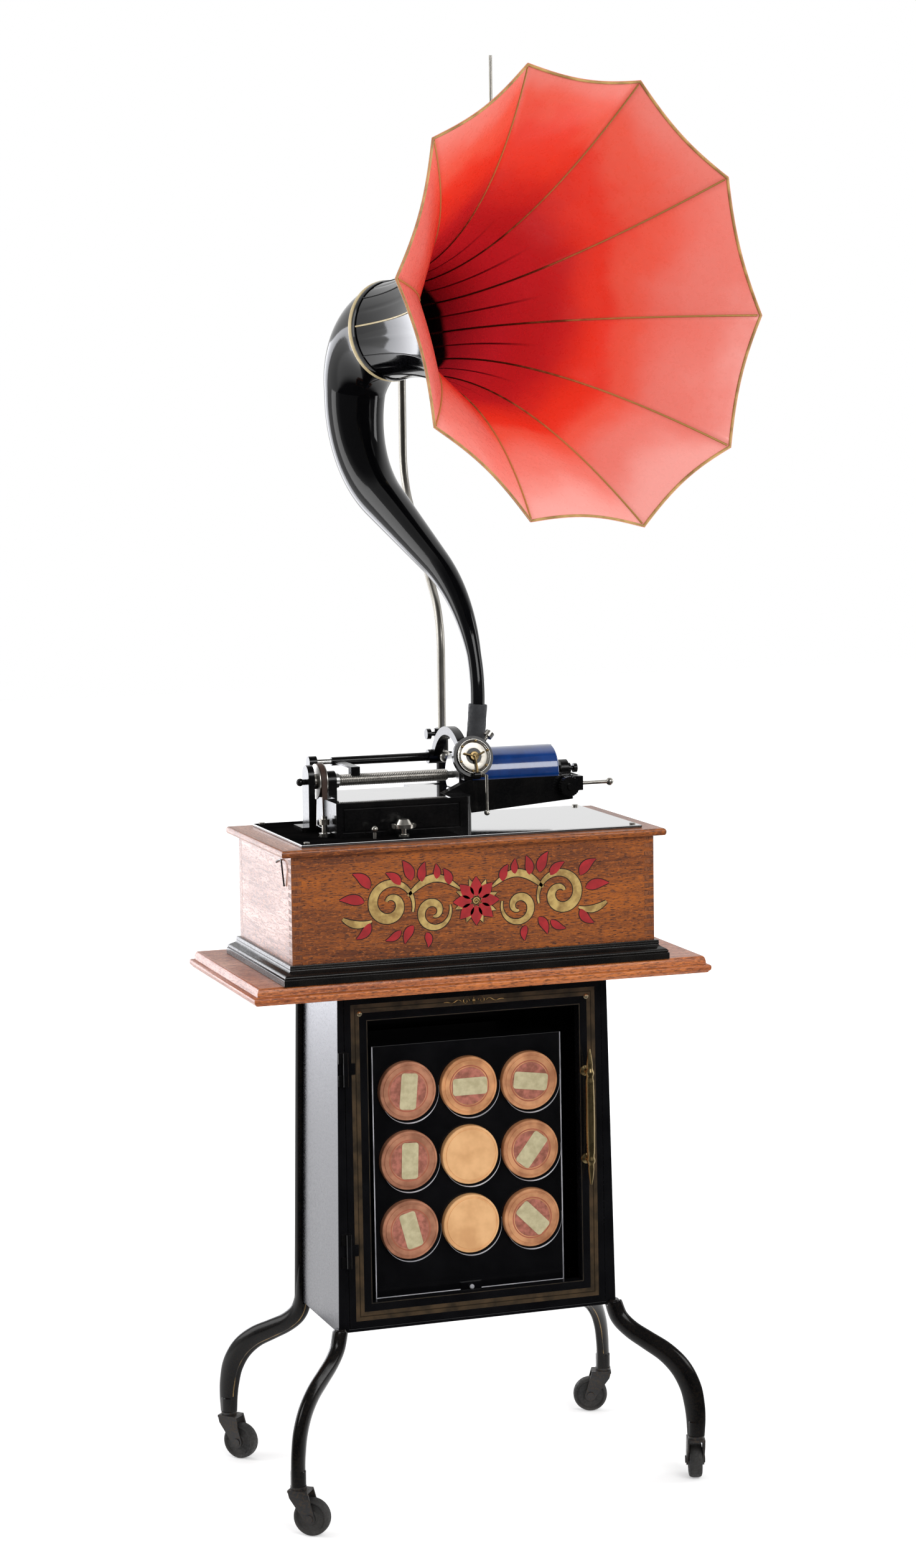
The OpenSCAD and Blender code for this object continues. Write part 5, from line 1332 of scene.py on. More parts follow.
def ornament():
    middle_x, middle_z = -7, 643
    cream = []
    red = []
    for side in (-1, 1):
        def across(shape):
            path, widths = shape
            return [(middle_x + side * x, middle_z + z) for x, z in path], widths

        main = spiral(96, 2, 27, 5, 200, -520, 56)
        cream.append(across((main, swelling(len(main), 10.5, 1.6))))
        low = spiral(48, -9, 20, 4, 160, 470, 50)
        cream.append(across((low, swelling(len(low), 8.0, 1.4))))
        stem = [(18 + 58 * t, 14 + 15 * sin(pi * t) - 4 * t) for t in np.linspace(0, 1, 24)]
        cream.append(across((stem, swelling(len(stem), 8.0, 1.4))))
        tail = [(116 + 32 * t, -14 - 16 * t + 20 * t * t) for t in np.linspace(0, 1, 16)]
        cream.append(across((tail, swelling(len(tail), 7.5, 1.2))))
        for x, z, aim, length, width, bow in (
            (72, 26, 66, 19, 7, 2), (60, 24, 100, 17, 6, -2), (84, 22, 40, 17, 6, 2),
            (118, 20, 42, 20, 7, 3), (124, 6, 8, 22, 7, 2), (118, -16, -46, 18, 6, -3),
            (70, -22, -62, 17, 6, 2), (56, -30, -96, 13, 5, -2), (84, -26, -30, 16, 5, -2),
            (30, 19, 70, 15, 6, 2), (44, 26, 88, 13, 5, 1),
        ):
            red.append(across(leaf(x, z, aim, length * 1.25, width * 1.5, bow)))
    for k in range(8):
        a = 45 * k
        x = middle_x + 5 * cos(radians(a))
        z = middle_z + 5 * sin(radians(a))
        red.append(leaf(x, z, a, 21, 13))
        cream.append(leaf(x, z, a + 22.5, 20, 8))
    heart = spiral(middle_x, middle_z, 3.2, 0.4, 0, 720, 30)
    cream.append((heart, [2.2] * len(heart)))
    laid("transfer_outline", cream + red, 1.0, 0.08, BLACK_INK, board_place)
    laid("transfer_cream", cream, 0.0, 0.16, CREAM_INK, board_place)
    laid("transfer_red", red, 0.0, 0.24, RED_INK, board_place)
    return len(cream) + len(red)


print("strokes in the transfer", ornament())

# %% [markdown]
# ## Record cabinet
# The cabinet is folded sheet steel, stoved black. Its door is a plain frame with two bronze
# stripes on either side of a dark groove, a thin line inside them, a small curl and two brass
# rivets at the head. The lines are thin raised strips, so they catch light as thick paint does.

# %% Cabinet shell, door and its lines
def door_line(name, inset, width, look, depth_in=0.05, height=0.12):
    """A rectangular line round the door, as a closed ring of a small flat profile."""
    bounds = (-145.5 + inset, 145.5 - inset, 4.0 + inset, 357.0 - inset)
    profile = [(0, depth_in), (0, -height * 0.6), (width * 0.15, -height)]
    profile += [(width * 0.85, -height), (width, -height * 0.6), (width, depth_in)]
    flat_frame(f"door_line_{name}", bounds, profile, front, "door", "bronze", look)


def into_front():
    """Matrix of the leaning front: local z runs into the cabinet, x to the right."""
    across = Vector((1, 0, 0))
    inward = Vector(front(0, 1, 0)) - Vector(front(0, 0, 0))
    down = inward.cross(across)
    origin = Vector(front(0, 0, 0))
    return Matrix([[across[i], down[i], inward[i], origin[i]] for i in range(3)] + [[0, 0, 0, 1]])


FRONT = into_front()


def on_front(x, height, depth=0.0):
    return FRONT @ placed(x, -height, depth)


def cabinet():
    shell = eased_copy("cabinet_shell", 0.7, [BLACK, BLACK_EDGE, BLACK_SIDE_SHEEN], "black_steel")
    # The side faces get the lit copy of the black, for a painted sheen.
    retouch(shell, 2, lambda c, n: abs(n.x) > 0.9)
    eased_copy("door_frame", 0.5, [BLACK, BLACK_EDGE], "black_steel")
    eased_copy("door_hinges", 0.3, [BLACK_CAST, BLACK_CAST_EDGE], "bronze")
    door_line("outer", 7.2, 4.2, BRONZE_LINE)
    door_line("inner", 12.4, 4.2, BRONZE_LINE)
    door_line("thin", 24.6, 0.9, THIN_LINE)
    door_line("groove", 9.8, 3.4, DARK_BRONZE_LINE, 0.75, -0.35)
    for side in (-1, 1):
        rivet = [(0, -2.0), (1.4, -1.8), (2.4, -1.2), (2.9, -0.4), (3.0, 0.05), (0, 0.05)]
        name = f"door_rivet_{'left' if side < 0 else 'right'}"
        turned(name, rivet, on_front(side * 128.4, 339.7), "door", "bronze", [RIVET_BRASS], 28)


def door_ornament():
    strokes = []
    for side in (-1, 1):
        curl = spiral(side * 9, 344.6, 4.2, 1.0, 180 if side > 0 else 0, -side * 400, 26)
        strokes.append((curl, swelling(len(curl), 1.1, 0.3)))
        wave = []
        for t in np.linspace(0, 1, 24):
            swing = 2.4 * sin(2.6 * pi * t) * (1 - t)
            wave.append((side * (14 + 20 * t), 344.5 + swing))
        strokes.append((wave, swelling(len(wave), 0.9, 0.25)))
    strokes.append(leaf(0, 341.5, 90, 7.5, 3.0))

    def on_door(x, h, height):
        return front(x, -height, h)

    laid("door_curl", strokes, 0.0, 0.12, GOLD_LINE, on_door, "door", "bronze")


def door_pull():
    x, mid, reach, out = 126.0, 211.0, 48.0, 14.0
    low = mid - reach - 26
    length = 2 * reach + 52
    profile = [(0, 0)]
    for k in range(61):
        t = k / 60
        r = 3.4 + 1.6 * sin(pi * t) - 2.4 * (abs(t - 0.5) * 2) ** 6
        for post in (0.5 - reach / length, 0.5 + reach / length):
            near = abs(t - post) * length
            r += 1.0 * exp(-((near / 2.0) ** 2)) - 0.7 * exp(-(((near - 5) / 1.6) ** 2))
        profile.append((max(r, 0.9), length * t))
    profile.append((0, length))
    bar = on_front(x, low, -out) @ placed(0, 0, 0, 90, "X")
    turned("door_pull_bar", profile, bar, "door", "bronze", [PULL_BRASS], 28, ("door_handle",))
    post = [(0, -out), (2.2, -out), (2.0, -out + 4), (1.9, -6), (2.6, -4), (4.2, -3)]
    post += [(4.0, -2.2), (5.6, -1.2), (6, 0), (2, 0), (2, 6), (0, 6)]
    for name, h in (("low", mid - reach), ("high", mid + reach)):
        end = on_front(x, h)
        turned(f"door_pull_post_{name}", post, end, "door", "bronze", [PULL_BRASS], 28, ("door_handle",))


DARK_BRONZE_LINE = papery("dark_bronze_line", (52, 40, 24), (28, 22, 14), 0.3, 0.8, 60.0)
PULL_BRASS = plated("pull_brass", (0.36, 0.27, 0.13, 1), (0.06, 0.04, 0.02, 1), 0.2, 0.42, 1.0)
cabinet()
door_ornament()
door_pull()
print("cabinet done")

# %% [markdown]
# ## Record cartons
# Each record is kept in a cardboard tube with a pressed lid. Most lids have a printed pink
# round and a pasted slip, left blank here. The slips lie at odd angles, as hand-pasted slips do,
# and their corners are a little rounded. Thin bright strips on the rack's edges and crescents
# round the lower right of every hole are painted highlights.

# %% Rack and cartons
RACK_FACE = 26.0
LID_FRONT = 19.0
LID_R = 31.75
PITCH_X, PITCH_Z, MIDDLE_ROW = 69.5, 75.0, 174.0
RACK_HALF, RACK_LOW, RACK_HIGH = 107.25, 20.5, 298.5
HOLE_R = 33.0
GLEAM_SHIFT = (4.0, -3.2)
SLIP_TURNS = {1: 85, 2: 0, 3: -8, 4: 88, 6: 52, 7: 105, 9: 135}


def plate_on_lid(name, outline, centre, turn, depth, thick, k, look, wave=0.0):
    a = radians(turn)
    count = len(outline)
    points = []
    for lift in (0.0, thick):
        for x, h in outline:
            bend = wave * sin(0.16 * x + k) * cos(0.3 * h) if lift == 0 else 0
            px = centre[0] + x * cos(a) - h * sin(a)
            ph = centre[1] + x * sin(a) + h * cos(a)
            points.append(front(px, depth + bend + lift, ph))
    middle = len(points)
    points.append(front(centre[0], depth, centre[1]))
    faces = [(i, (i + 1) % count, middle) for i in range(count)]
    faces += [(i, count + i, count + (i + 1) % count, (i + 1) % count) for i in range(count)]
    faces.append(tuple(range(count, 2 * count)))
    return put(name, points, faces, f"carton_{k}", "cardboard", [look], angle=30)


def slip_outline(width, height, corner):
    out = []
    for qx, qh, start in ((1, 1, 0), (-1, 1, 90), (-1, -1, 180), (1, -1, 270)):
        for j in range(5):
            a = radians(start + 90 * j / 4)
            x = qx * (width / 2 - corner) + corner * cos(a)
            out.append((x, qh * (height / 2 - corner) + corner * sin(a)))
    return out


def cartons():
    r, bore = LID_R, LID_R - 1.5
    lid = [(0, 0.05), (r - 4.3, 0), (r - 4.0, 0.6), (r - 2.6, 0.65), (r - 2.4, 0), (r - 0.8, 0.1)]
    lid += [(r - 0.2, 0.6), (r, 1.4), (r, 23.5), (r - 0.3, 24), (r - 1.3, 24)]
    lid += [(bore + 0.05, 23), (bore, 2.1), (0, 2)]
    tube = [(0, 2.1), (bore - 0.3, 2.1), (bore, 2.6), (bore - 0.05, 104.6), (bore - 0.5, 105.8)]
    tube += [(bore - 1.5, 106), (bore - 1.8, 105.2), (0, 105.2)]
    ring = [(21.4, -0.06), (22.6, -0.06), (22.7, 0.2), (21.3, 0.2)]
    round_print = [(0, -0.12), (20.2, -0.12), (20.5, 0.1), (0, 0.1)]
    for k in range(1, 10):
        x = ((k - 1) % 3 - 1) * PITCH_X
        h = MIDDLE_ROW + (1 - (k - 1) // 3) * PITCH_Z
        place = on_front(x, h, LID_FRONT)
        node = f"carton_{k}"
        look = LID_CARDS[k % len(LID_CARDS)] if k in SLIP_TURNS else LID_PLAIN
        turned(f"carton_lid_{k}", lid, place, node, "cardboard", [look], 64, (node,))
        turned(f"carton_tube_{k}", tube, place, node, "cardboard", [TUBE_CARD], 48, (node,))
        if k in SLIP_TURNS:
            turned(f"carton_round_{k}", round_print, place, node, "cardboard", [PINK_PRINT], 48)
            turned(f"carton_ring_{k}", ring, place, node, "cardboard", [RING_PRINT], 48, (), True)
            plate_on_lid(
                f"carton_slip_{k}", slip_outline(39, 18.5, 3.2), (x + 0.6, h - 0.4), SLIP_TURNS[k],
                LID_FRONT - 0.5, 0.4, k, LABEL_PAPER, 0.12
            )


def rack_edges():
    """Painted highlights: bright strips on the rack's edges and bright crescents on the lower right of
    every hole, and the knob in the same bright finish.
    """
    low, high, half = RACK_LOW, RACK_HIGH, RACK_HALF
    depth = RACK_FACE - 0.1
    for name, ends in (
        ("left", ((-half, low), (-half, high))),
        ("right", ((half, low), (half, high))),
        ("foot", ((-half, low + 6), (half, low + 6))),
    ):
        path = [front(x, depth, h) for x, h in ends]
        rod(f"rack_edge_{name}", path, 0.7, "stand", "black_steel", [RACK_STEEL_AND_GLEAM], 10)
    parts = []
    for k in range(9):
        x, h = (k % 3 - 1) * PITCH_X, MIDDLE_ROW + (1 - k // 3) * PITCH_Z
        path = []
        size = []
        for step in range(33):
            t = step / 32
            a = radians(-165 + 175 * t)
            aside = x + GLEAM_SHIFT[0] + HOLE_R * cos(a)
            path.append(front(aside, depth, h + GLEAM_SHIFT[1] + HOLE_R * sin(a)))
            size.append(0.12 + 0.7 * sin(pi * t) ** 2)
        parts.append((swept_points(path, size, 8), ring_faces(33, 8)))
    joined("rack_hole_edges", parts, "stand", "black_steel", RACK_STEEL_AND_GLEAM, angle=60)
    knob = [(0, -5.4), (1.9, -5.2), (2.6, -4.4), (2.6, -3.4), (1.6, -2.6), (1.5, -1.4), (0, -1.4)]
    turned("rack_knob", knob, on_front(0, 29.5, RACK_FACE), "stand", "black_steel", [RACK_STEEL_AND_GLEAM], 24)


LID_PLAIN = papery("lid_card_bright", (236, 184, 128), (206, 150, 96), 0.6, 0.8, 40.0)
LID_CARDS = [
    LID_CARD,
    papery("lid_card_red", (190, 130, 98), (138, 86, 60), 0.7, 0.9, 50.0),
    papery("lid_card_tan", (222, 160, 108), (160, 104, 64), 0.7, 0.9, 42.0),
]
RING_PRINT = papery("ring_print", (176, 96, 72), (140, 72, 50), 0.7, 0.6, 100.0)
# A bright diffuse finish for the painted highlights on the rack, also used on its knob.
RACK_STEEL_AND_GLEAM = enamel("rack_steel_and_painted_gleam", (206, 206, 212), (150, 150, 156), 0.35, 0.6)
RACK_BRIGHT = enamel("rack_rubbed_edge", (120, 120, 124), (60, 60, 62), 0.3, 0.5)
eased_copy("record_rack", 0.5, [BLACK, RACK_BRIGHT], "black_steel")
rack_edges()
cartons()
print("cartons with slips", sorted(SLIP_TURNS))

# %% [markdown]
# ## Legs
# The legs are cast iron with a double curve. A few stations along the bend give its middle
# line, height and thickness. They are joined smoothly, skinned with oval rings, and cut where
# the leg meets the cabinet's corner. Above the back legs round posts go up to the table.

# %% Cast legs
LEG_OUT = hypot(66, 64)
LEG_BEND = [
    (-2.5, 186, 9.5, 7.8), (4, 171, 10, 7.4), (18, 159, 10, 7),
    (37, 149, 10.5, 6.6), (58, 138, 11.2, 6.4), (75, 123, 12, 6.2), (LEG_OUT - 6, 104, 12, 6.2),
    (LEG_OUT - 1.5, 85, 11.4, 6.2), (LEG_OUT, 69, 10.6, 6.4), (LEG_OUT, 51, 9.4, 7.4),
]
FRONT_RISE, BACK_RISE = 5, 42
POST_R = 6.5


def cut_by_cabinet(piece):
    """Cuts a piece with the cabinet's tapered block, grown by a hair, and keeps what is outside."""
    corners = []
    for z, w, d in ((184, 158.3, 71.3), (551, 152.6, 65.6)):
        corners += [metres(p) for p in ((-w, -d, z), (w, -d, z), (w, d, z), (-w, d, z))]
    mesh = bpy.data.meshes.new("cabinet_block")
    mesh.from_pydata(corners, [], ring_faces(2, 4))
    block = in_scene("cabinet_block", mesh)
    cut = piece.modifiers.new("cut", "BOOLEAN")
    cut.operation = "DIFFERENCE"
    cut.solver = "EXACT"
    cut.object = block
    bpy.context.view_layer.update()
    whole = piece.evaluated_get(bpy.context.evaluated_depsgraph_get())
    after = bpy.data.meshes.new_from_object(whole)
    piece.modifiers.clear()
    piece.data = after
    even_normals(piece)
    bpy.data.objects.remove(block)
    after.set_sharp_from_angle(angle=radians(40))


def corner_post(i, j, name):
    """The back legs go on up the cabinet's corners to the table as round posts."""
    path = [(158 * i, 71 * j, CABINET_FOOT), (152.5 * i, 65.5 * j, 550)]
    post = rod(f"post_{name}", path, POST_R, "stand", "black_iron", [BLACK_LEG], 32, (name,))
    cut_by_cabinet(post)


LEG_SIDES = 40


def leg(i, j, name):
    rise = BACK_RISE if j > 0 else FRONT_RISE
    top = [(-3, CABINET_FOOT + rise, 5.5, 6), (-3, CABINET_FOOT + rise / 2, 7.5, 7.5)]
    stations = curved(top + LEG_BEND, 6)
    place = placed(158 * i, 71 * j, 0, degrees(atan2(64 * j, 66 * i)))
    points = []
    for n, s in enumerate(stations):
        before, after = stations[max(n - 1, 0)], stations[min(n + 1, len(stations) - 1)]
        h = pi if n > len(stations) - 8 else atan2(after[0] - before[0], after[1] - before[1])
        for k in range(LEG_SIDES):
            a = 2 * pi * k / LEG_SIDES
            ridge = 1 + 0.05 * cos(2 * a) ** 2
            u, v = s[2] * cos(a) * ridge, s[3] * sin(a) * ridge
            points.append(place @ Vector((s[0] - u * cos(h), v, s[1] + u * sin(h))))
    faces = ring_faces(len(stations), LEG_SIDES)
    looks = [BLACK_LEG]
    cut_by_cabinet(put(f"cast_{name}", points, faces, "stand", "black_iron", looks, (name,), angle=50))
    if j > 0:
        corner_post(i, j, name)
    sign = 1 if i * j > 0 else -1
    line = []
    a = radians(138)
    for before, s, after in zip(stations[9:], stations[10:-6], stations[11:]):
        h = atan2(after[0] - before[0], after[1] - before[1])
        u, v = s[2] * cos(a), -sign * s[3] * sin(a)
        line.append(place @ Vector((s[0] - u * cos(h), v, s[1] + u * sin(h))))
    rod(f"stripe_{name}", line, 0.55, "stand", "black_iron", [GOLD_LINE_WORN], 6)
    foot = [(7.4, 67), (8.2, 66), (8.2, 52), (7.7, 51), (4.2, 51), (4.1, 66), (6, 67)]
    below = placed(224 * i, 135 * j, 0)
    turned(f"socket_{name}", foot, below, "stand", "black_iron", looks, 40, (name,), True)


BLACK_LEG = enamel("leg_black", (10, 10, 11), (18, 17, 17), 0.14, 0.2, 0.04)
GOLD_LINE_WORN = papery("worn_gold_line", (150, 120, 70), (24, 20, 16), 0.4, 1.0, 40.0)
CORNERS = {"front_left": (-1, -1), "front_right": (1, -1), "back_left": (-1, 1), "back_right": (1, 1)}
for corner, (i, j) in CORNERS.items():
    leg(i, j, f"leg_{corner}")
print("legs at", [(158 * i + 66 * i, 71 * j + 64 * j) for i, j in CORNERS.values()])

# %% [markdown]
# ## Casters
# The forks are bent sheet steel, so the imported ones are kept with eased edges. Each wheel is
# turned: a rounded tread, a dished side and a hub with a small bush round the axle.

# %% Forks and wheels
WHEEL_TURNS = {"front_left": -38, "front_right": 71, "back_left": -47, "back_right": 161}


WHEEL_R, WHEEL_HALF = 19.5, 7.0


def wheel_profile():
    """Pairs of radius and height, from pairs of radius and depth below the wheel's side."""
    half = [(2.55, 0.3), (3.1, 0), (4.4, 0), (4.7, 0.5), (5.2, 0.5), (5.6, 0), (6.8, 0), (7.4, 0.6)]
    half += [(8.2, 1.9), (11, 2.3), (14.2, 2.1), (15.2, 1.2), (15.9, 0.3), (16.8, 0), (18.0, 0.5)]
    half += [(18.9, 1.8), (19.35, 3.6), (WHEEL_R, 5.4)]
    half = [(r, WHEEL_HALF - depth) for r, depth in half]
    return half + [(r, -h) for r, h in reversed(half)]


def casters():
    for corner, (i, j) in CORNERS.items():
        looks = [CASTER_PAINT, CASTER_EDGE]
        eased_copy(f"caster_fork_{corner}", 0.3, looks, "caster_steel", short=1.5)
        stem = placed(224 * i, 135 * j, 0, WHEEL_TURNS[corner])
        place = stem @ placed(15, 0, WHEEL_R, 90, "X")
        tread, hides = wheel_profile(), (f"caster_wheel_{corner}",)
        body = f"wheel_{corner}"
        turned(f"caster_tread_{corner}", tread, place, body, "caster_rubber", [TYRE], 64, hides, True)


CASTER_EDGE = enamel("caster_rubbed_edge", (64, 63, 62), (96, 94, 90), 0.35, 0.5, 0.3)
casters()
print("casters", len(WHEEL_TURNS))

# %% [markdown]
# ## Bedplate and castings
# The bedplate and castings are japanned iron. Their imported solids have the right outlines, so
# they are copied with rounded edges, and the rounded strips get the browner, rubbed finish.
# Their glossy tops mirror the room behind, except where two thin dull skins lie on the bedplate,
# and a fine gold line is laid on the casting's front panel as a raised frame.

# %% Bedplate, casting, pedestal and gate
DULL_PATCHES = (("bed_dull_end", -195, -137, -89, 95), ("bed_dull_front", -137, -20, -89, -57))


def castings():
    eased_copy("bedplate", 0.8, [BLACK_BED, BLACK_CAST_EDGE], "black_iron")
    for name, *bounds in DULL_PATCHES:
        skin = [(0.0, -0.3), (0.0, 0.08), (0.4, 0.12)]
        moulded(name, bounds, BED_TOP, skin, "black_iron", [DULL_BLACK])
    casting = eased_copy("body_casting", 1.2, [BLACK_CAST, BLACK_CAST_EDGE, BLACK_BED], "black_iron")
    retouch(casting, 2, lambda c, n: n.z > 0.98)
    eased_copy("shaft_pedestal", 1.0, [BLACK_CAST, BLACK_CAST_EDGE], "black_iron")
    gate = eased_copy("end_gate", 0.6, [BLACK_CAST, BLACK_CAST_EDGE, NICKEL_DULL], "black_iron")

    def on_gate_knob(c, n):
        return c[0] > 151.5 or (c[0] > 124 and c[1] < -42 and abs(c[2] - 751) < 12)

    print("bright faces on the gate", retouch(gate, 2, on_gate_knob))
    edge = [(0, 0.05), (0, -0.12), (0.7, -0.12), (0.7, 0.05)]
    flat_frame(
        "casting_line", (-134, -24, 721.5, 740.5), edge, lambda x, depth, z: (x, -56.8 + depth, z),
        "stand", "black_iron", GOLD_LINE_WORN
    )
    for node, ease, look, slot in (
        ("bedplate_screws", 0.35, NICKEL_DULL, "nickel"), ("guide_rod", 0.3, STEEL, "steel"),
        ("lift_lever", 0.3, NICKEL, "nickel"), ("speed_screw", 0.3, NICKEL, "nickel"),
        ("brake_knob", 0.6, NICKEL, "nickel"),
    ):
        eased_copy(node, ease, [look], slot)


DULL_BLACK = enamel("dull_black", (10, 10, 11), (20, 19, 19), 0.6, 0.0)
BLACK_BED = enamel("bedplate_black", (10, 10, 12), (16, 16, 18), 0.05, 0.5, 0.0, **GLAZE)
castings()

# %% [markdown]
# ## Feed screw, mandrel and record
# The feed screw moves the carriage, so its thread is real geometry: the radius rises and falls
# with the angle and with the place along the shaft. The record is a blue celluloid tube whose
# fine grooves show as one long soft streak of light.

# %% Feed screw, mandrel and record
SCREW_FROM, SCREW_TO, SCREW_PITCH = -121, 2, 2.0
SCREW_R, THREAD_DEPTH = 6.5, 0.75


def feed_screw():
    x0, x1, pitch = SCREW_FROM, SCREW_TO, SCREW_PITCH
    sides, per_turn = 24, 8
    count = int((x1 - x0) / pitch * per_turn)
    points = []
    for i in range(count + 1):
        x = x0 + (x1 - x0) * i / count
        end = min(1.0, (x - x0) / 1.5, (x1 - x) / 1.5)
        for j, (across, up) in enumerate(circle(sides)):
            phase = (x / pitch - j / sides) % 1.0
            cut = THREAD_DEPTH * min(1.0, max(0.0, 1.6 - abs(phase - 0.5) * 4))
            r = (SCREW_R - cut) * (0.9 + 0.1 * end)
            points.append((x, AXIS_Y + r * across, AXIS_Z + r * up))
    faces = ring_faces(count + 1, sides)
    put("feed_screw", points, faces, "rotor", "steel", [SCREW_STEEL], ("feed_shaft",), angle=30)


def shaft():
    ends = [(0, -155.5), (3.6, -155.5), (4, -155), (4, -125.7), (7.4, -125.6)]
    ends += [(8, -125), (8, -121.7), (7.4, -121.1), (5, -121), (0, -121)]
    place = placed(0, AXIS_Y, AXIS_Z, 90, "Y")
    turned("shaft_left", ends, place, "rotor", "steel", [STEEL], 36, ("feed_shaft",))
    right = [(0, 1), (5.6, 1), (5.6, 2.4), (4, 2.8), (4, 131.4), (3.5, 132), (2.6, 132), (0.2, 129)]
    turned("shaft_right", right, place, "rotor", "steel", [STEEL], 36, ("feed_shaft",))
    eased_copy("shaft_pulley", 0.3, [NICKEL_DULL], "brass")
    eased_copy("mandrel", 0.5, [STEEL], "steel")
    eased_copy("drive_belt", 0.3, [LEATHER], "leather")


def blue_celluloid():
    coat = {"Coat_Weight": 0.8, "Coat_IOR": 1.7, "Coat_Roughness": 0.06}
    made, tree, shader = finish("blue_celluloid", 0.25, base=colour(14, 50, 112), **coat)
    place = own_place(tree)
    grooves = noise(tree, stretched(tree, place, (2400, 6, 6)), 1.0, 2, 0.5)
    given = use_group(tree, "mottle", place, Size=40.0)
    tone = blended(tree, given["Patch"], colour(12, 46, 104), colour(18, 62, 132))
    tone = blended(tree, ranged(tree, grooves, 0.4, 0.7, 0.0, 0.12), tone, colour(8, 34, 92))
    feed(shader, Base_Color=tone, Roughness=ranged(tree, grooves, 0.3, 0.7, 0.12, 0.2))
    raise_grain(tree, shader, grooves, 0.04, 0.0001)
    return made


def record():
    profile = [(22.95, 0), (25.6, 0), (26.9, 0.25), (27.6, 0.9), (27.8, 1.8)]
    profile += [(27.8, 106.2), (27.6, 107.1), (26.9, 107.75), (25.4, 108), (21.72, 108)]
    place = placed(15, AXIS_Y, AXIS_Z, 90, "Y")
    looks = [blue_celluloid()]
    turned("record_tube", profile, place, "rotor", "blue_record", looks, 96, ("record_cylinder",), True)


SCREW_STEEL = plated("screw_steel", (0.46, 0.44, 0.41, 1), (0.2, 0.18, 0.16, 1), 0.22, 0.42, 0.8)
feed_screw()
shaft()
record()
print("thread turns", int((SCREW_TO - SCREW_FROM) / SCREW_PITCH))

# %% [markdown]
# ## Carriage and sound box
# The carriage is a black casting that slides on the guide rod. It holds the sound box, a flat
# nickelled drum with a dull silver face round a black well, whose link joins the stylus arm to
# the hub in the middle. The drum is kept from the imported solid, and the rim, face, hub, screws
# and link are laid in front of it.

# %% Carriage, sound box and its face
SOUND_UP = 75
SOUND = placed(18.5, -17, 786, SOUND_UP, "X")
SCREW_CIRCLE = 16.6


def carriage():
    looks = [BLACK_CAST, BLACK_CAST_EDGE, NICKEL_DULL]
    arm = eased_copy("carriage_arm", 0.6, looks, "black_iron")
    away = SOUND.inverted()

    def on_clamp(c, n):
        q = away @ Vector(c)
        aside = q.x > 5 and q.y > 5 and q.y > 0.7 * q.x
        return aside and hypot(q.x, q.y) > 25.5 and abs(q.z - 2) < 5.5

    retouch(arm, 2, on_clamp)
    ball = [(0, -5.4), (2.6, -5.2), (4.6, -4.2), (6.0, -2.4), (6.5, 0)]
    ball += [(6.0, 2.4), (4.6, 4.2), (2.4, 5.2), (2.2, 7), (0, 7)]
    turned("arm_knob", ball, placed(19.3, 74, 777.8, -90, "X"), "carriage", "nickel", [NICKEL_DULL], 40)


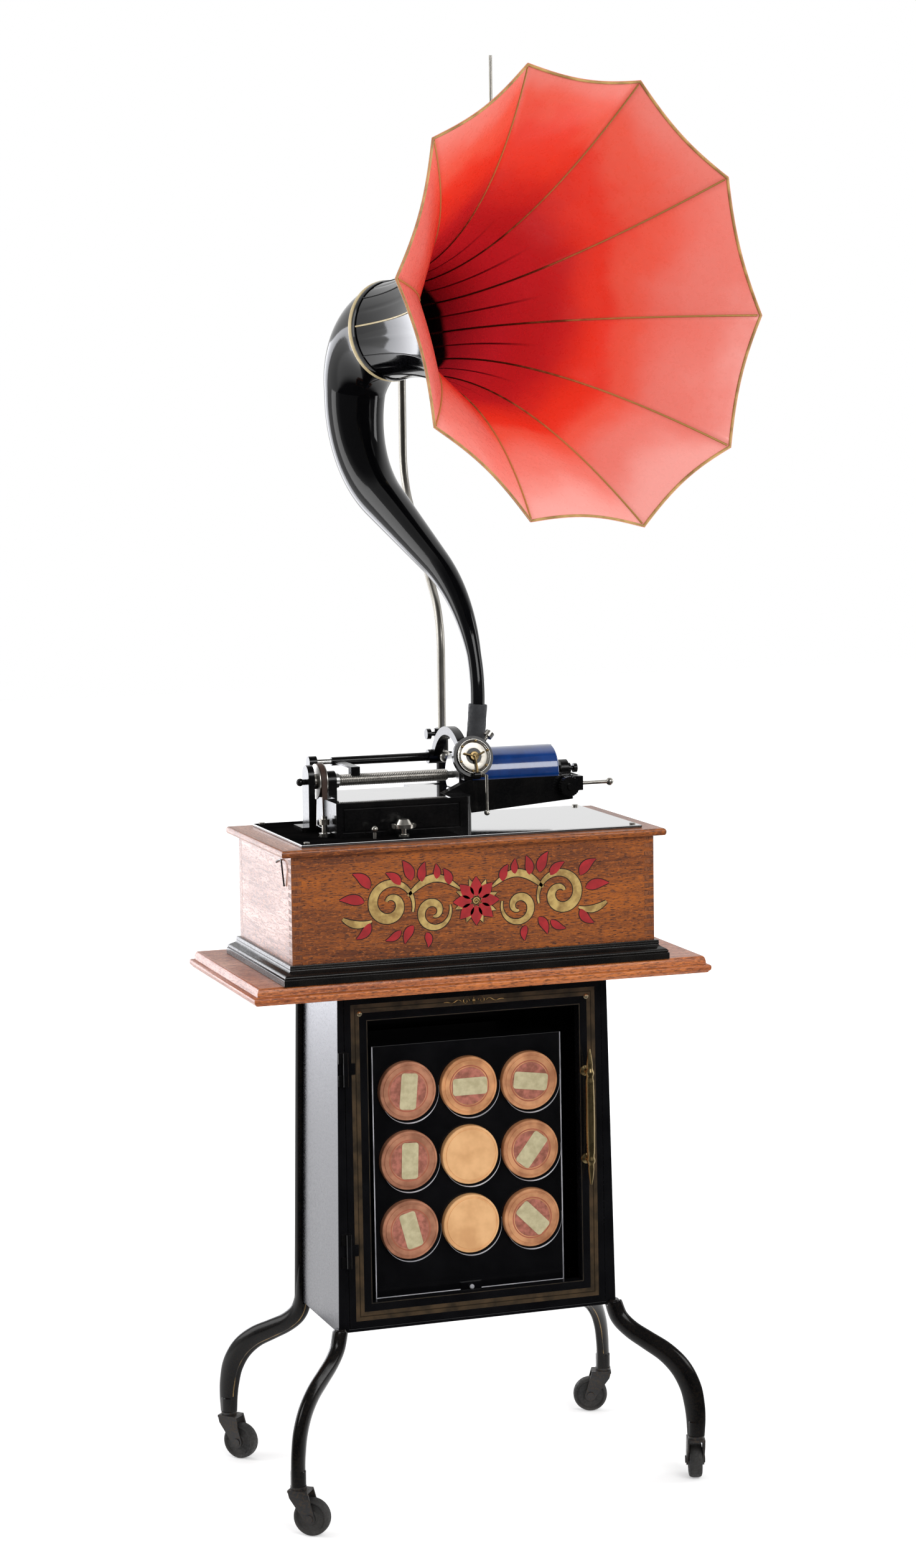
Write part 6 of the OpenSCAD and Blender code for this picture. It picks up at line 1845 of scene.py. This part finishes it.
def sound_box():
    eased_copy("sound_box", 0.35, [NICKEL, NICKEL_DULL], "nickel")
    rim = [(15.4, 5.6), (15.4, 8.0), (15.9, 8.5), (16.6, 8.2)]
    rim += [(17.2, 8.6), (18.2, 8.3), (18.6, 7.6), (18.6, 5.6)]
    face = [(8.2, 6.2), (15.4, 6.2), (15.4, 6.8), (14.6, 7.3), (9.2, 7.4), (8.3, 7.0)]
    well = [(4.4, 6.2), (8.3, 6.2), (8.3, 6.62), (4.4, 6.62)]
    hub = [(0, 11.4), (1.6, 11.3), (2.4, 10.8), (2.7, 10), (4.5, 9.8), (5.0, 9.3), (5.0, 6.4), (0, 6.4)]
    for name, profile, slot, look, sides in (
        ("rim", rim, "nickel", NICKEL, 64), ("face", face, "nickel", SOUND_SILVER, 64),
        ("well", well, "black_iron", BLACK_CAST, 48), ("hub", hub, "brass", OLD_BRASS, 32),
    ):
        turned(f"sound_{name}", profile, SOUND, "carriage", slot, [look], sides, (), name != "hub")
    head = [(0, 9.6), (1.0, 9.5), (1.5, 9.1), (1.6, 8.4), (1.6, 7.6), (0, 7.6)]
    for k in range(6):
        a = radians(60 * k + 20)
        place = SOUND @ placed(SCREW_CIRCLE * cos(a), SCREW_CIRCLE * sin(a), 0)
        turned(f"sound_screw_{k + 1}", head, place, "carriage", "brass", [OLD_BRASS], 16)
    link = [(0, 0, 10.6), (0.4, -5, 10.4), (1.0, -10, 9.8)]
    link += [(1.2, -14, 10.2), (1.0, -18.5, 10.0), (0.6, -21, 8.2)]
    bridge = [(-12, 3.2, 8.6), (-6, 1.4, 9.4), (0, 0, 9.9), (6, 1.6, 9.4), (11.6, 4.0, 8.6)]
    for name, points, radius in (("link", link, 1.15), ("bridge", bridge, 1.0)):
        path = curved([SOUND @ Vector(p) for p in points], 5)
        rod(f"sound_{name}", path, radius, "carriage", "brass", [OLD_BRASS], 12)


SOUND_SILVER = plated("sound_silver", (0.6, 0.57, 0.51, 1), (0.1, 0.08, 0.05, 1), 0.3, 0.5, 1.0)
OLD_BRASS = plated("old_brass", (0.34, 0.24, 0.11, 1), (0.08, 0.05, 0.03, 1), 0.25, 0.5, 0.9)
carriage()
sound_box()
print("sound box tilts back", 90 - SOUND_UP, "degrees")

# %% [markdown]
# ## Motor
# The spring motor hangs under the bedplate, inside the closed case. It is finished all the
# same: a blackened frame, steel wheels and a brass governor.

# %% Motor
MOTOR = (
    ("motor_frame", [BLACK_CAST, BLACK_CAST_EDGE], "black_iron"),
    ("spring_barrel", [STEEL, NICKEL_DULL], "steel"),
    ("second_shaft", [BRASS, OLD_BRASS], "brass"),
    ("governor", [BRASS, OLD_BRASS], "brass"),
    ("winding_shaft", [STEEL, NICKEL_DULL], "steel"),
)
for node, looks, slot in MOTOR:
    eased_copy(node, 0.25, looks, slot, short=1.2)
print("motor parts", len(MOTOR))
